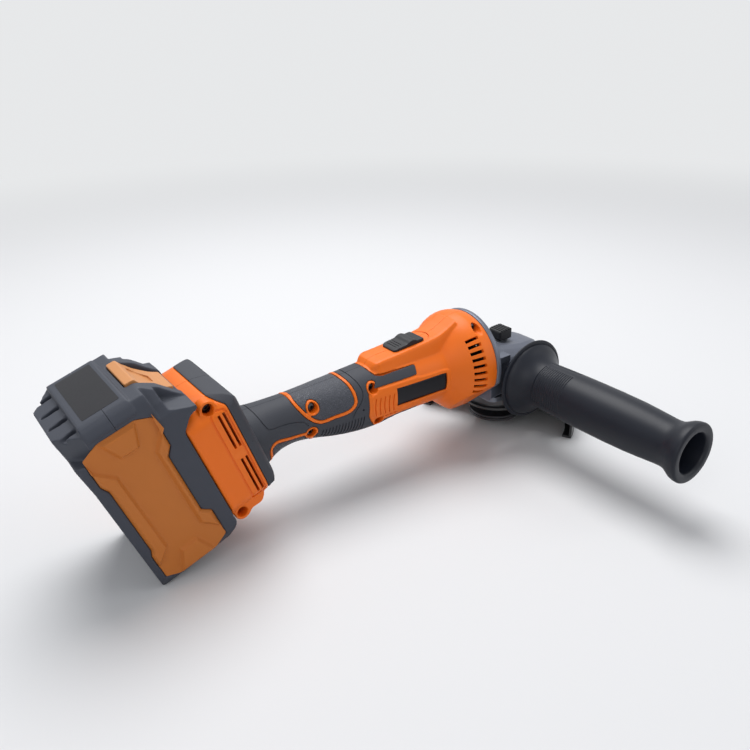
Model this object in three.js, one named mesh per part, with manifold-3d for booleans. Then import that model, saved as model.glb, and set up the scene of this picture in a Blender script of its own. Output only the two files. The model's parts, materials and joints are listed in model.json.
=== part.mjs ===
// Cordless angle grinder, 125 mm class, with a slide-on battery pack.
// Millimetres, +Z up. X runs forward along the motor, Y to the tool's left, Z up the spindle.
// The pieces are laid out round the point where the motor and spindle axes cross, and the
// whole tool is then lifted so that the origin is the middle of the spindle's lower end.
import * as THREE from "three";
import { mergeVertices } from "three/addons/utils/BufferGeometryUtils.js";
import Module from "manifold-3d";

const wasm = await Module();
wasm.setup();

// ---------------------------------------------------------------- general sizes
const CLEAR = 0.3;            // gap between pieces that touch
const RUN = 0.5;              // gap round pieces that turn or slide
const WALL = 2.4;             // moulded shell
const SKIN = 2.0;             // soft grip moulded over the shell
const ROUND = 20;             // facets round a large circle
const MIDDLE = 12;            // facets round a middling circle
const SMALL = 8;              // facets round a small circle
const TINY = 6;               // facets round a screw

// ---------------------------------------------------------------- gear head sizes
const RING_TEETH = 37;
const PINION_TEETH = 11;
const TOOTH_MODULE = 1.0;
const FACE_WIDTH = 5;
const SPINDLE_DROP = 68;      // crossing point down to the spindle's end
const SPINDLE_THREAD = 7;     // radius, M14
const SPINDLE_JOURNAL = 6;    // radius in the ball bearing
const SPINDLE_SEAT = 4.6;     // radius in the ring gear
const SPINDLE_NOSE = 3.5;     // radius in the top bush
const SHOULDER_RADIUS = 10;
const SHOULDER_TOP = -48.6;
const FLANGE_RADIUS = 21.5;
const FLANGE_TOP = -54;
const FLANGE_HEIGHT = 5;
const NUT_HEIGHT = 6;
const BEARING_RADIUS = 16;    // outer radius of the spindle's ball bearing
const BEARING_WIDTH = 10;
const BEARING_TOP = -18.6;
const BUSH_RADIUS = 5.1;
const CAVITY_RADIUS = 20.8;
const CEILING = -1.8;         // roof over the ring gear
const PINION_ROOM = 7.3;
const PITCH_RADIUS = (RING_TEETH * TOOTH_MODULE) / 2;
const PINION_PITCH = (PINION_TEETH * TOOTH_MODULE) / 2;
const GEAR_FACE = -7;         // flat top of the ring gear, inside its teeth
const GEAR_BACK = -12.5;
const HUB_RADIUS = 12;
const HUB_BOTTOM = -16.2;
const LOCK_RADIUS = 8.6;      // lock holes, from the spindle axis
const LOCK_HOLE = 2.3;
const LOCK_PIN = 1.9;
const BUTTON_TOP = 13.7;
const BUTTON_CENTRE = 2.5;
const BUTTON_LENGTH = 12.6;
const BUTTON_HALF_WIDTH = 6;
const BUTTON_SKIRT = 7.3;     // underside of the button
const POCKET_FLOOR = 4;
const SPRING_RADIUS = 3.6;
const SPRING_WIRE = 0.45;
const BUSH_TOP = 2;
const HEAD_TOP = 6.5;         // top face over the spindle
const HEAD_BOTTOM = -30;
const HEAD_HALF_WIDTH = 29;
const HEAD_NOSE = 40;         // front of the gear case, from the spindle
const HEAD_FLANGE = 5;        // thickness of the case's round flange
const NECK_RADIUS = 20.5;
const NECK_BOTTOM = -47.4;
const RETAINER_THICKNESS = 4;
const RETAINER_SCREW = 2;
const RETAINER_SCREWS = [[-24.5, -22], [-24.5, 22], [25.5, -16.5], [25.5, 16.5]];
const HANDLE_AXIS_Z = -15.8;  // side-handle holes, below the motor axis
const HANDLE_BOSS = 35;       // boss face, from the middle plane
const HANDLE_BOSS_RADIUS = 12;
const STUD_RADIUS = 4;        // M8
const SOCKET_DEPTH = 13;

// ---------------------------------------------------------------- motor housing sizes
const BELL_FRONT = -39.5;     // front rim of the bell
const BELL_RIM = 40.3;        // radius at the rim
const BELL_SWELL = 42;        // largest radius
const BELL_FLAT = 34;         // distance of the two lower flats
const BELL_LENGTH = 36.5;
const BARREL = 24.2;          // radius of the motor barrel
const BARREL_LENGTH = 50;
const PALM_TOP = 20.8;        // swell behind the switch
const PALM_BOTTOM = 26.9;
const PALM_HALF_WIDTH = 22;
const WAIST = 17;             // thinnest part of the grip
const WAIST_AT = -205;
const HEEL_AT = -236;         // where the grip meets the foot
const HEEL_TOP = 16.3;
const HEEL_BOTTOM = 31;
const HEEL_HALF_WIDTH = 23;
const MOTOR_LENGTH = 46;
const MOTOR_RADIUS = 20.4;
const FAN_RADIUS = 30;
const SHAFT_RADIUS = 4;
const SHAFT_NOSE = 3;
const FRONT_BEARING_RADIUS = 11;
const FRONT_BEARING_WIDTH = 7;
const FRONT_BEARING_AT = -45.7;
const REAR_BEARING_RADIUS = 9.5;
const REAR_BEARING_WIDTH = 6;
const VENT_COUNT = 9;
const VENT_FIRST = 133.5;     // degrees round the motor axis
const VENT_PITCH = 7.8;
const VENT_LENGTH = 9.5;
const VENT_WIDTH = 2.2;
const VENT_AT = -55.7;
const CASE_SCREW = 2;
const CASE_SCREWS = [[-26, 22], [26, 22], [-34.2, -9.5], [34.2, -9.5]];
const SCREW_REACH = 10;
const BOSS_RADIUS = 5.2;      // ring round each shell screw
const SCREW_HEAD = 3;
const SCREW_SHANK = 1.5;
const PIPE_WIDTH = 2.4;       // raised line between the grip pads

// ---------------------------------------------------------------- switch sizes
const SWITCH_REAR = -115;
const SWITCH_LENGTH = 29;
const SWITCH_HALF_WIDTH = 8.4;
const SWITCH_TRAVEL = 6;
const SWITCH_HEIGHT = 3.2;
const SWITCH_STEM = -107.5;   // rear of the stem that goes through the slot
const STEM_LENGTH = 5;
const STEM_HALF_WIDTH = 3;
const ROD_TOP = 22.4;         // upper face of the switch rod
const ROD_THICKNESS = 1.6;
const SWITCH_UNIT_FRONT = -132;

// ---------------------------------------------------------------- guard sizes
const GUARD_RADIUS = 70;
const GUARD_SHEET = 2;
const GUARD_FACETS = 30;
const GUARD_TOP = -45.6;
const GUARD_BOTTOM = -72.5;
const GUARD_LIP = 8;
const GUARD_START = -65;      // degrees, one end of the closed half
const CLAMP_HEIGHT = 7;
const CLAMP_AT = 25;          // degrees, where the clamp's ears point

// ---------------------------------------------------------------- side handle sizes
const SIDE_FLANGE_AT = 37;    // inner face of the hand flange
const SIDE_FLANGE_RADIUS = 32.8;
const SIDE_GRIP = 19.6;
const SIDE_END = 188;
const SIDE_END_RADIUS = 22.5;
const SIDE_HOLLOW = 14.6;
const SIDE_HOLLOW_DEPTH = 62;

// ---------------------------------------------------------------- battery and foot sizes
const TILT = THREE.MathUtils.degToRad(18.7);
const PACK_X = -311.7;        // middle of the pack, from the spindle
const PACK_Z = -4.5;
const PACK_HALF_WIDTH = 38;
const PACK_BACK = -29.6;
const PACK_TOP = 66;
const PACK_BOTTOM = -63;
const PACK_WALL = 2.4;
const SEAM_AT = 1.4;          // parting plane of the pack's two shells
const PANEL_DEPTH = 1.2;
const PANEL_HALF_LENGTH = 51;
const PANEL_HALF_WIDTH = 22.3;
const CELL_RADIUS = 9;
const CELL_PITCH = 19;
const CELL_ROOM = 1.9;        // from the cells' ends to the case's inner wall
const FOOT_FACE = 33;         // foot's face against the pack
const FOOT_FRONT = 71;
const FOOT_TOP = 48;
const FOOT_BOTTOM = -50;
const TONGUE_NECK = 15;
const TONGUE_HEAD = 19;
const TONGUE_DEPTH = 7;
const LATCH_HALF_WIDTH = 17;
const LATCH_TRAVEL = 3;
const TONGUE_BOTTOM = -33.5;
const TERMINAL_HALF_WIDTH = 11;
const TERMINAL_BOTTOM = -30;
const TERMINAL_TOP = -12;
const BOARD_HALF_WIDTH = 24;
const BOARD_BOTTOM = -34;
const BOARD_TOP = 26;
const BOARD_THICKNESS = 1.6;
const BLADE_PITCH = 7;

// ---------------------------------------------------------------- geometry helpers

function unindexed(geometry) {
  return geometry.index ? geometry.toNonIndexed() : geometry.clone();
}

// A closed three.js geometry as a solid that can be joined and cut.
function solid(geometry) {
  const bare = unindexed(geometry);
  bare.deleteAttribute("normal");
  bare.deleteAttribute("uv");
  const merged = mergeVertices(bare, 1e-4);
  return new wasm.Manifold(new wasm.Mesh({
    numProp: 3,
    vertProperties: new Float32Array(merged.attributes.position.array),
    triVerts: new Uint32Array(merged.index.array),
  }));
}

function join(...solids) {
  return solids.reduce((all, next) => all.add(next));
}

function cut(body, ...tools) {
  return tools.reduce((left, tool) => left.subtract(tool), body);
}

function box(x0, x1, y0, y1, z0, z1) {
  const block = new THREE.BoxGeometry(x1 - x0, y1 - y0, z1 - z0);
  return solid(block.translate((x0 + x1) / 2, (y0 + y1) / 2, (z0 + z1) / 2));
}

// Turns an outline of [along, radius] points about the X, Y or Z axis.
function revolve(outline, axis = "z", facets = ROUND) {
  const points = outline.map(([along, radius]) => new THREE.Vector2(radius, along));
  const turned = new THREE.LatheGeometry(points, facets);
  if (axis === "x") turned.rotateZ(-Math.PI / 2);
  if (axis === "z") turned.rotateX(Math.PI / 2);
  return outwards(turned);
}

// A lathed outline can come out inside out, and its seam has to be welded first.
function outwards(geometry) {
  const bare = unindexed(geometry);
  bare.deleteAttribute("normal");
  bare.deleteAttribute("uv");
  const p = bare.attributes.position;
  const a = new THREE.Vector3();
  const b = new THREE.Vector3();
  const c = new THREE.Vector3();
  const keep = [];
  let volume = 0;
  for (let i = 0; i < p.count; i += 3) {
    a.fromBufferAttribute(p, i);
    b.fromBufferAttribute(p, i + 1);
    c.fromBufferAttribute(p, i + 2);
    const thin = a.distanceTo(b) < 1e-5 || b.distanceTo(c) < 1e-5 || c.distanceTo(a) < 1e-5;
    if (thin) continue;
    keep.push([a.clone(), b.clone(), c.clone()]);
    volume += a.dot(b.clone().cross(c));
  }
  const flat = keep.flatMap(([u, v, w]) => (volume > 0 ? [u, v, w] : [u, w, v]));
  return new THREE.BufferGeometry().setFromPoints(flat);
}

function turned(outline, axis, facets) {
  return solid(revolve(outline, axis, facets));
}

function rod(axis, radius, from, to, a = 0, b = 0, facets = SMALL) {
  const geometry = revolve([[from, 0], [from, radius], [to, radius], [to, 0]], axis, facets);
  const place = { x: [0, a, b], y: [a, 0, b], z: [a, b, 0] }[axis];
  return solid(geometry.translate(...place));
}

// Which axis each of the outline's two directions and the push become.
const AXES_XZY = new THREE.Matrix4().set(1, 0, 0, 0, 0, 0, 1, 0, 0, 1, 0, 0, 0, 0, 0, 1);
const AXES_ZXY = new THREE.Matrix4().set(0, 0, 1, 0, 1, 0, 0, 0, 0, 1, 0, 0, 0, 0, 0, 1);

// An outline in one plane, pushed along the third axis: xz along Y, yz along X, xy along Z.
function prismGeometry(outline, plane, from, to) {
  const shape = new THREE.Shape(outline.map(([a, b]) => new THREE.Vector2(a, b)));
  const pushed = new THREE.ExtrudeGeometry(shape, { depth: to - from, bevelEnabled: false });
  pushed.translate(0, 0, from);
  if (plane === "xz") pushed.applyMatrix4(AXES_XZY);
  if (plane === "yz") pushed.applyMatrix4(AXES_ZXY);
  return outwards(pushed);
}

function prism(outline, plane, from, to) {
  return solid(prismGeometry(outline, plane, from, to));
}

// Rings with the same number of points, joined one to the next, with flat ends.
function ringLoft(rings) {
  const count = rings[0].length;
  const points = rings.flat();
  const faces = [];
  for (let i = 0; i < rings.length - 1; i += 1) {
    const here = i * count;
    const next = here + count;
    for (let j = 0; j < count; j += 1) {
      const k = (j + 1) % count;
      faces.push([here + j, here + k, next + k], [here + j, next + k, next + j]);
    }
  }
  const last = (rings.length - 1) * count;
  for (let j = 1; j < count - 1; j += 1) {
    faces.push([0, j + 1, j], [last, last + j, last + j + 1]);
  }
  const flat = faces.flatMap((face) => face.map((index) => points[index]));
  return outwards(new THREE.BufferGeometry().setFromPoints(flat));
}

// Moves every edge of an outline sideways by the same distance, outwards when it is positive.
function offset(outline, distance) {
  const area = outline.reduce((sum, [x, y], i) => {
    const [u, v] = outline[(i + 1) % outline.length];
    return sum + x * v - u * y;
  }, 0);
  const side = Math.sign(area) * distance;
  return outline.map(([x, y], i) => {
    const [px, py] = outline[(i + outline.length - 1) % outline.length];
    const [nx, ny] = outline[(i + 1) % outline.length];
    const one = new THREE.Vector2(y - py, px - x).normalize();
    const two = new THREE.Vector2(ny - y, x - nx).normalize();
    const middle = one.clone().add(two).normalize();
    const reach = side / Math.max(0.3, middle.dot(one));
    return [x + middle.x * reach, y + middle.y * reach];
  });
}

// A line of the given width along a path.
function ribbon(path, width) {
  const half = width / 2;
  const sides = path.map(([x, y], i) => {
    const [px, py] = path[Math.max(0, i - 1)];
    const [nx, ny] = path[Math.min(path.length - 1, i + 1)];
    const across = new THREE.Vector2(py - ny, nx - px).normalize().multiplyScalar(half);
    return [[x + across.x, y + across.y], [x - across.x, y - across.y]];
  });
  return [...sides.map(([left]) => left), ...sides.map(([, right]) => right).reverse()];
}

// Pieces of the pack and foot are drawn upright, as X towards the head, Y left and Z up the
// pack, and tilted into the tool's frame by this matrix.
const TILTED = new THREE.Matrix4()
  .makeTranslation(PACK_X, 0, PACK_Z)
  .multiply(new THREE.Matrix4().makeRotationY(-TILT));

function tiltedPrism(outline, plane, from, to) {
  return solid(prismGeometry(outline, plane, from, to).applyMatrix4(TILTED));
}

function tiltedBox(x0, x1, y0, y1, z0, z1) {
  return tiltedPrism([[x0, z0], [x1, z0], [x1, z1], [x0, z1]], "xz", y0, y1);
}

function tiltedPoint(x, z) {
  const point = new THREE.Vector3(x, 0, z).applyMatrix4(TILTED);
  return [point.x, point.z];
}

// ---------------------------------------------------------------- materials
function plastic(color, roughness = 0.5) {
  return new THREE.MeshStandardMaterial({ color, roughness, metalness: 0 });
}

function metal(color, roughness = 0.35) {
  return new THREE.MeshStandardMaterial({ color, roughness, metalness: 1 });
}

const ORANGE = plastic(0xf2641a, 0.45);
const PACK_ORANGE = plastic(0xc8702c, 0.5);
const SOFT_GREY = plastic(0x44474d, 0.7);
const PACK_GREY = plastic(0x3c3f45, 0.6);
const BLACK = plastic(0x1b1c1e, 0.45);
const ALUMINIUM = metal(0x8d9196, 0.45);
const STEEL = metal(0xb4b6ba, 0.3);
const BLACK_STEEL = metal(0x1c1c1e, 0.5);
const COPPER = metal(0xb87333, 0.4);
const GREEN = plastic(0x1f5a35, 0.5);
const CELL_BLUE = plastic(0x2d5f8a, 0.4);

const tool = new THREE.Group();
tool.position.z = SPINDLE_DROP;
const pack = new THREE.Group();
pack.position.set(PACK_X, 0, PACK_Z);
pack.rotation.y = -TILT;
tool.add(pack);

// Adds a solid to a group as a named mesh.
function piece(name, body, material, group = tool) {
  const data = body.getMesh();
  const geometry = new THREE.BufferGeometry();
  geometry.setAttribute("position", new THREE.BufferAttribute(data.vertProperties, 3));
  geometry.setIndex(new THREE.BufferAttribute(data.triVerts, 1));
  geometry.computeVertexNormals();
  const mesh = new THREE.Mesh(geometry, material);
  mesh.name = name;
  group.add(mesh);
}

// ---------------------------------------------------------------- outer form of the body
// Sections along the motor axis: place, top, bottom, half width and squareness.
const BELL_BACK = BELL_FRONT - BELL_LENGTH;
const BARREL_BACK = BELL_BACK - BARREL_LENGTH;
const PALM_AT = BARREL_BACK - 19;
const STATIONS = [
  [HEEL_AT, HEEL_TOP, -HEEL_BOTTOM, HEEL_HALF_WIDTH, 2.4],
  [HEEL_AT + 14, HEEL_TOP + 0.2, -HEEL_BOTTOM + 8.6, HEEL_HALF_WIDTH - 4.8, 2.4],
  [WAIST_AT, WAIST - 0.1, -WAIST - 1.2, WAIST - 0.1, 2.4],
  [WAIST_AT + 18, WAIST + 1, -WAIST - 3.6, WAIST + 1, 2.4],
  [WAIST_AT + 31, PALM_TOP - 2, -PALM_BOTTOM + 3.3, PALM_HALF_WIDTH - 2.4, 2.4],
  [PALM_AT, PALM_TOP, -PALM_BOTTOM, PALM_HALF_WIDTH, 2.4],
  [BARREL_BACK, BARREL - 1.7, -BARREL - 1.4, BARREL - 1, 2.3],
  [BELL_BACK - 8, BARREL - 0.2, -BARREL, BARREL, 2.1],
  [BELL_BACK, BARREL + 1.2, -BARREL - 1.2, BARREL + 1.2, 2],
  [BELL_BACK + 4, BARREL + 4.8, -BARREL - 4.8, BARREL + 4.8, 2],
  [BELL_BACK + 16, BELL_SWELL - 4.2, -BELL_SWELL + 4.2, BELL_SWELL - 4.2, 2],
  [BELL_BACK + 21, BELL_SWELL - 1.4, -BELL_SWELL + 1.4, BELL_SWELL - 1.4, 2],
  [BELL_BACK + 27, BELL_SWELL, -BELL_SWELL, BELL_SWELL, 2],
  [BELL_FRONT, BELL_RIM, -BELL_RIM, BELL_RIM, 2],
];
const FLAT_DIRECTION = THREE.MathUtils.degToRad(48);

// One section, grown or shrunk evenly. The two lower flats cut the bell's round sections.
function section([x, top, bottom, half, squareness], grow, count = ROUND) {
  const middle = (top + bottom) / 2;
  const tall = (top - bottom) / 2 + grow;
  const wide = half + grow;
  const flat = BELL_FLAT + grow;
  return Array.from({ length: count }, (_, i) => {
    const angle = (i / count) * 2 * Math.PI + Math.PI / count;
    const c = Math.cos(angle);
    const s = Math.sin(angle);
    const round = (Math.abs(c / wide) ** squareness + Math.abs(s / tall) ** squareness) ** (-1 / squareness);
    const lean = Math.abs(c) * Math.cos(FLAT_DIRECTION) - s * Math.sin(FLAT_DIRECTION);
    const reach = lean > 0 ? Math.min(round, flat / lean) : round;
    return new THREE.Vector3(x, reach * c, middle + reach * s);
  });
}

// Fewer sections serve for the inside.
const INNER_STATIONS = STATIONS.filter((_, i) => i !== 4 && i !== 9);

// The station at any place, read off between its neighbours.
function stationAt(x) {
  const index = STATIONS.findIndex((entry) => entry[0] >= x);
  const after = STATIONS[Math.max(1, index < 0 ? STATIONS.length - 1 : index)];
  const before = STATIONS[STATIONS.indexOf(after) - 1];
  const share = (x - before[0]) / (after[0] - before[0]);
  return before.map((value, i) => value + (after[i] - value) * share);
}

function bodyLoft(grow, from, to = BELL_FRONT, count = ROUND, stations = STATIONS) {
  const inner = stations.filter(([x]) => x > from + 0.5 && x < to - 0.5);
  const run = [stationAt(from), ...inner, stationAt(to)];
  run[0][0] = from;
  run[run.length - 1][0] = to;
  return solid(ringLoft(run.map((entry) => section(entry, grow, count))));
}

// The foot that carries the pack, from its side view, its end view and its plan.
const FOOT_SIDE = [
  [FOOT_FACE, FOOT_BOTTOM + 1.5], [FOOT_FACE + 11, FOOT_BOTTOM], [FOOT_FRONT - 17, FOOT_BOTTOM + 3],
  [FOOT_FRONT - 2, FOOT_BOTTOM + 9.5], [FOOT_FRONT, FOOT_BOTTOM + 13], [FOOT_FRONT, FOOT_TOP - 15],
  [FOOT_FRONT - 2, FOOT_TOP - 9.5], [FOOT_FRONT - 6.5, FOOT_TOP - 5], [FOOT_FRONT - 14, FOOT_TOP - 1.2],
  [FOOT_FACE + 13, FOOT_TOP], [FOOT_FACE + 13.5, FOOT_TOP - 3.5], [FOOT_FACE, 30.5],
];
const FOOT_END = [
  [-7, FOOT_TOP], [-18, FOOT_TOP - 2], [-PACK_HALF_WIDTH + 7, FOOT_TOP - 5.5],
  [-PACK_HALF_WIDTH, FOOT_TOP - 9.5], [-PACK_HALF_WIDTH, FOOT_BOTTOM + 12],
  [-PACK_HALF_WIDTH + 9, FOOT_BOTTOM], [PACK_HALF_WIDTH - 9, FOOT_BOTTOM],
  [PACK_HALF_WIDTH, FOOT_BOTTOM + 12], [PACK_HALF_WIDTH, FOOT_TOP - 9.5],
  [PACK_HALF_WIDTH - 7, FOOT_TOP - 5.5], [18, FOOT_TOP - 2], [7, FOOT_TOP],
];
const FOOT_PLAN = [
  [FOOT_FACE, -PACK_HALF_WIDTH], [FOOT_FRONT - 7, -PACK_HALF_WIDTH], [FOOT_FRONT - 2, -PACK_HALF_WIDTH + 2],
  [FOOT_FRONT, -PACK_HALF_WIDTH + 7], [FOOT_FRONT, PACK_HALF_WIDTH - 7], [FOOT_FRONT - 2, PACK_HALF_WIDTH - 2],
  [FOOT_FRONT - 7, PACK_HALF_WIDTH], [FOOT_FACE, PACK_HALF_WIDTH],
];

function footBlock(grow) {
  const side = tiltedPrism(offset(FOOT_SIDE, grow), "xz", -60, 60);
  const end = tiltedPrism(offset(FOOT_END, grow), "yz", 0, 90);
  const plan = tiltedPrism(offset(FOOT_PLAN, grow), "xy", -80, 80);
  return side.intersect(end).intersect(plan);
}

// Raised saddle that carries the slide switch, rising towards the bell.
const SADDLE_REAR = SWITCH_REAR - 19;
const SADDLE_FRONT = BELL_BACK + 18;
const RUNWAY_REAR = SWITCH_REAR - 1.5;
const RUNWAY_FRONT = SWITCH_REAR + SWITCH_LENGTH + SWITCH_TRAVEL + 1.5;
const RUNWAY_HEIGHT = BARREL + 2.9;
const RUNWAY_RISE = 0.09;
const SADDLE = [
  [SADDLE_REAR, BARREL - 3], [SADDLE_REAR + 4, BARREL + 1.2], [SADDLE_REAR + 9, BARREL + 2.2],
  [RUNWAY_REAR, RUNWAY_HEIGHT],
  [RUNWAY_FRONT, RUNWAY_HEIGHT + RUNWAY_RISE * (RUNWAY_FRONT - RUNWAY_REAR)],
  [BELL_BACK + 6, BARREL + 9], [SADDLE_FRONT, BARREL + 14],
];

function saddle(grow) {
  const rings = SADDLE.map(([x, top]) => {
    const half = 9.4 + grow;
    const foot = 14.6 + grow;
    const crown = top + grow;
    return [[-foot, 8], [foot, 8], [foot, 16.5], [half + 1, crown - 1.6], [half - 1.2, crown],
      [-half + 1.2, crown], [-half - 1, crown - 1.6], [-foot, 16.5]]
      .map(([y, z]) => new THREE.Vector3(x, y, z));
  });
  rings[0].forEach((point) => { point.x -= grow; });
  return solid(ringLoft(rings));
}

// ---------------------------------------------------------------- outlines drawn on the grip
// Side views, as X and Z: the line round the palm pad, the line over the heel, and the edge
// between soft grip and bare shell.
const PALM_LINE = [
  [WAIST_AT + 5, 30], [WAIST_AT + 2.5, 16], [WAIST_AT + 4, 11.5], [WAIST_AT + 9.5, 3.8],
  [WAIST_AT + 18, -2.3], [PALM_AT - 20, -0.7], [PALM_AT - 15, 2.6], [PALM_AT - 13.5, 8],
  [PALM_AT - 14.5, 16.5], [PALM_AT - 18, 30],
];
const HEEL_LINE = [
  [WAIST_AT + 14, -40], [WAIST_AT + 11.5, -10], [WAIST_AT + 6, -8.8], [WAIST_AT - 6.4, -7.7],
  [WAIST_AT - 18, -5.9], [WAIST_AT - 22.4, -9.5], [WAIST_AT - 21.5, -16], [WAIST_AT - 16, -40],
];
const GRIP_ZONE = [
  [HEEL_AT - 40, 60], [PALM_AT + 6, 60], [PALM_AT + 6, 17], [PALM_AT - 2, 8.5], [PALM_AT - 2, -13],
  [PALM_AT + 5, -17.5], [BARREL_BACK + 24, -16.8], [BARREL_BACK + 26, -60], [HEEL_AT - 40, -60],
];
const FOOT_ZONE = [
  [FOOT_FACE + 18.5, 90], [FOOT_FACE + 18.5, 41], [FOOT_FACE + 23, 36], [FOOT_FRONT - 9.8, 31],
  [FOOT_FRONT - 9.8, -90], [FOOT_FRONT + 30, -90], [FOOT_FRONT + 30, 90],
];
// Where each shell screw crosses the middle plane, and how far out its head sits.
const SHELL_SCREWS = [
  [WAIST_AT + 13.6, 9.1, 11], [WAIST_AT + 11.2, -9.3, 11], [PALM_AT + 2.3, 10.6, 13],
  [PALM_AT + 6.6, -16.3, 12],
  [...tiltedPoint(FOOT_FACE + 18, 35.5), 30], [...tiltedPoint(FOOT_FACE + 6.5, FOOT_BOTTOM + 4.5), 22],
  [BELL_FRONT - 7.5, 34, 16],
];

function across(outline) {
  return prism(outline, "xz", -60, 60);
}

function outerForm(grow) {
  return join(bodyLoft(grow, HEEL_AT - 10), footBlock(grow));
}

function softZone(grow) {
  const handle = across(offset(GRIP_ZONE, grow));
  const behind = prism([[HEEL_AT - 2, -60], [0, -60], [0, 60], [HEEL_AT - 2, 60]], "xz", -60, 60);
  const foot = tiltedPrism(offset(FOOT_ZONE, grow), "xz", -60, 60);
  return join(handle.intersect(behind), foot.subtract(behind));
}

function bossRings(radius) {
  return SHELL_SCREWS.slice(0, 6).map(([x, z]) => rod("y", radius, -60, 60, x, z));
}

// ---------------------------------------------------------------- shells and soft grips
const HALF_GAP = CLEAR / 2;
const RIGHT = [-80, -HALF_GAP];
const LEFT = [HALF_GAP, 80];
const MOTOR_FRONT = BELL_BACK + 10;
const MOTOR_BACK = MOTOR_FRONT - MOTOR_LENGTH;
const FAN_BACK = BELL_FRONT - 22;
const FAN_WIDTH = 9;

function half(body, [from, to]) {
  return body.intersect(box(-420, 120, from, to, -160, 160));
}

// Air outlets through both flanks of the bell, in a fan of slots round the motor axis.
function ventSlots() {
  return Array.from({ length: VENT_COUNT }, (_, i) => VENT_FIRST + i * VENT_PITCH)
    .flatMap((angle) => [angle, 180 - angle])
    .map((angle) => {
      const blade = new THREE.BoxGeometry(VENT_LENGTH, 14, VENT_WIDTH);
      blade.translate(0, FAN_RADIUS + 8, 0);
      blade.rotateX(THREE.MathUtils.degToRad(angle));
      return solid(blade.translate(VENT_AT, 0, 0));
    });
}

// Air inlets through both flanks of the foot, in two columns of two slots.
function footSlots() {
  return [[-39, -9.4], [-0.5, 26]].flatMap(([low, high]) => [18.4, 22].map((column) => (
    tiltedBox(FOOT_FACE + column - 0.8, FOOT_FACE + column + 0.8, -60, 60, low, high))));
}

// Channel in the foot, open at the top, in which the pack's tongue slides.
function packChannel(clear) {
  const bottom = TONGUE_BOTTOM - clear;
  const neck = tiltedBox(FOOT_FACE - 6, FOOT_FACE + TONGUE_DEPTH + clear, -TONGUE_NECK - clear,
    TONGUE_NECK + clear, bottom, 90);
  const head = tiltedBox(FOOT_FACE + TONGUE_DEPTH / 2 - clear, FOOT_FACE + TONGUE_DEPTH + clear,
    -TONGUE_HEAD - clear, TONGUE_HEAD + clear, bottom, 90);
  return join(neck, head);
}

function channelWalls() {
  return tiltedBox(FOOT_FACE - 6, FOOT_FACE + TONGUE_DEPTH + RUN + WALL, -TONGUE_HEAD - RUN - WALL,
    TONGUE_HEAD + RUN + WALL, TONGUE_BOTTOM - RUN - WALL, 90);
}

// Screw posts for the gear case, along the inside of the bell.
function bellPosts() {
  return CASE_SCREWS.map(([y, z]) => rod("x", 3.6, BELL_FRONT - 14, BELL_FRONT - 0.5, y, z, TINY));
}

function shellHollow() {
  const skinned = SKIN + CLEAR + WALL;
  const foot = footBlock(-skinned).subtract(channelWalls());
  return join(
    bodyLoft(-WALL, BARREL_BACK - 8, BELL_FRONT + 1, MIDDLE, INNER_STATIONS),
    bodyLoft(-skinned, HEEL_AT - 8, BARREL_BACK - 7, MIDDLE, INNER_STATIONS),
    foot,
    saddle(-WALL),
  );
}

function shells() {
  const outer = join(outerForm(0), saddle(0));
  const core = outerForm(-(SKIN + CLEAR));
  const lines = join(across(ribbon(PALM_LINE, PIPE_WIDTH)), across(ribbon(HEEL_LINE, PIPE_WIDTH)),
    ...bossRings(BOSS_RADIUS));
  const skinned = outer.subtract(softZone(0).subtract(lines)).add(core);
  const posts = join(...SHELL_SCREWS.map(([x, z]) => rod("y", BOSS_RADIUS - 1.4, -60, 60, x, z, 8)),
    ...bellPosts());
  const inside = join(bodyLoft(-1, HEEL_AT - 8, BELL_FRONT - 0.5, MIDDLE), footBlock(-SKIN - 1));
  const hollow = shellHollow().subtract(posts.intersect(inside));
  return cut(skinned, hollow, ...ventSlots(), ...footSlots(), packChannel(RUN), switchSlot(),
    terminalWindow(CLEAR), ...bellHoles());
}

function bellHoles() {
  return CASE_SCREWS.map(([y, z]) => rod("x", CASE_SCREW + CLEAR / 2, BELL_FRONT - 12.5, 0, y, z, TINY));
}

function switchSlot() {
  return box(SWITCH_STEM - RUN, SWITCH_STEM + STEM_LENGTH + SWITCH_TRAVEL + RUN, -STEM_HALF_WIDTH - RUN,
    STEM_HALF_WIDTH + RUN, 10, 50);
}

function terminalWindow(clear) {
  return tiltedBox(FOOT_FACE + TONGUE_DEPTH, FOOT_FACE + TONGUE_DEPTH + 9, -TERMINAL_HALF_WIDTH - clear,
    TERMINAL_HALF_WIDTH + clear, TERMINAL_BOTTOM - clear, TERMINAL_TOP + clear);
}

function softGrips() {
  const skin = outerForm(0).subtract(outerForm(-SKIN)).intersect(softZone(-CLEAR));
  const palm = across(PALM_LINE);
  const heel = across(HEEL_LINE);
  const lines = join(across(ribbon(PALM_LINE, PIPE_WIDTH + 2 * CLEAR)),
    across(ribbon(HEEL_LINE, PIPE_WIDTH + 2 * CLEAR)), ...bossRings(BOSS_RADIUS + CLEAR));
  return {
    palm_pad: skin.intersect(palm.subtract(lines)),
    heel_pad: skin.intersect(heel.subtract(lines)),
    grip_sleeve: skin.subtract(join(lines, palm, heel, saddle(CLEAR))),
  };
}

function screwRecesses() {
  return SHELL_SCREWS.flatMap(([x, z, seat]) => [
    rod("y", SCREW_HEAD + CLEAR, -60, -seat, x, z),
    rod("y", SCREW_SHANK + CLEAR, -seat - 1, 1, x, z, TINY),
  ]);
}

function screwBores() {
  return SHELL_SCREWS.map(([x, z]) => rod("y", SCREW_SHANK + HALF_GAP, -1, SCREW_REACH + CLEAR, x, z, TINY));
}

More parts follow.
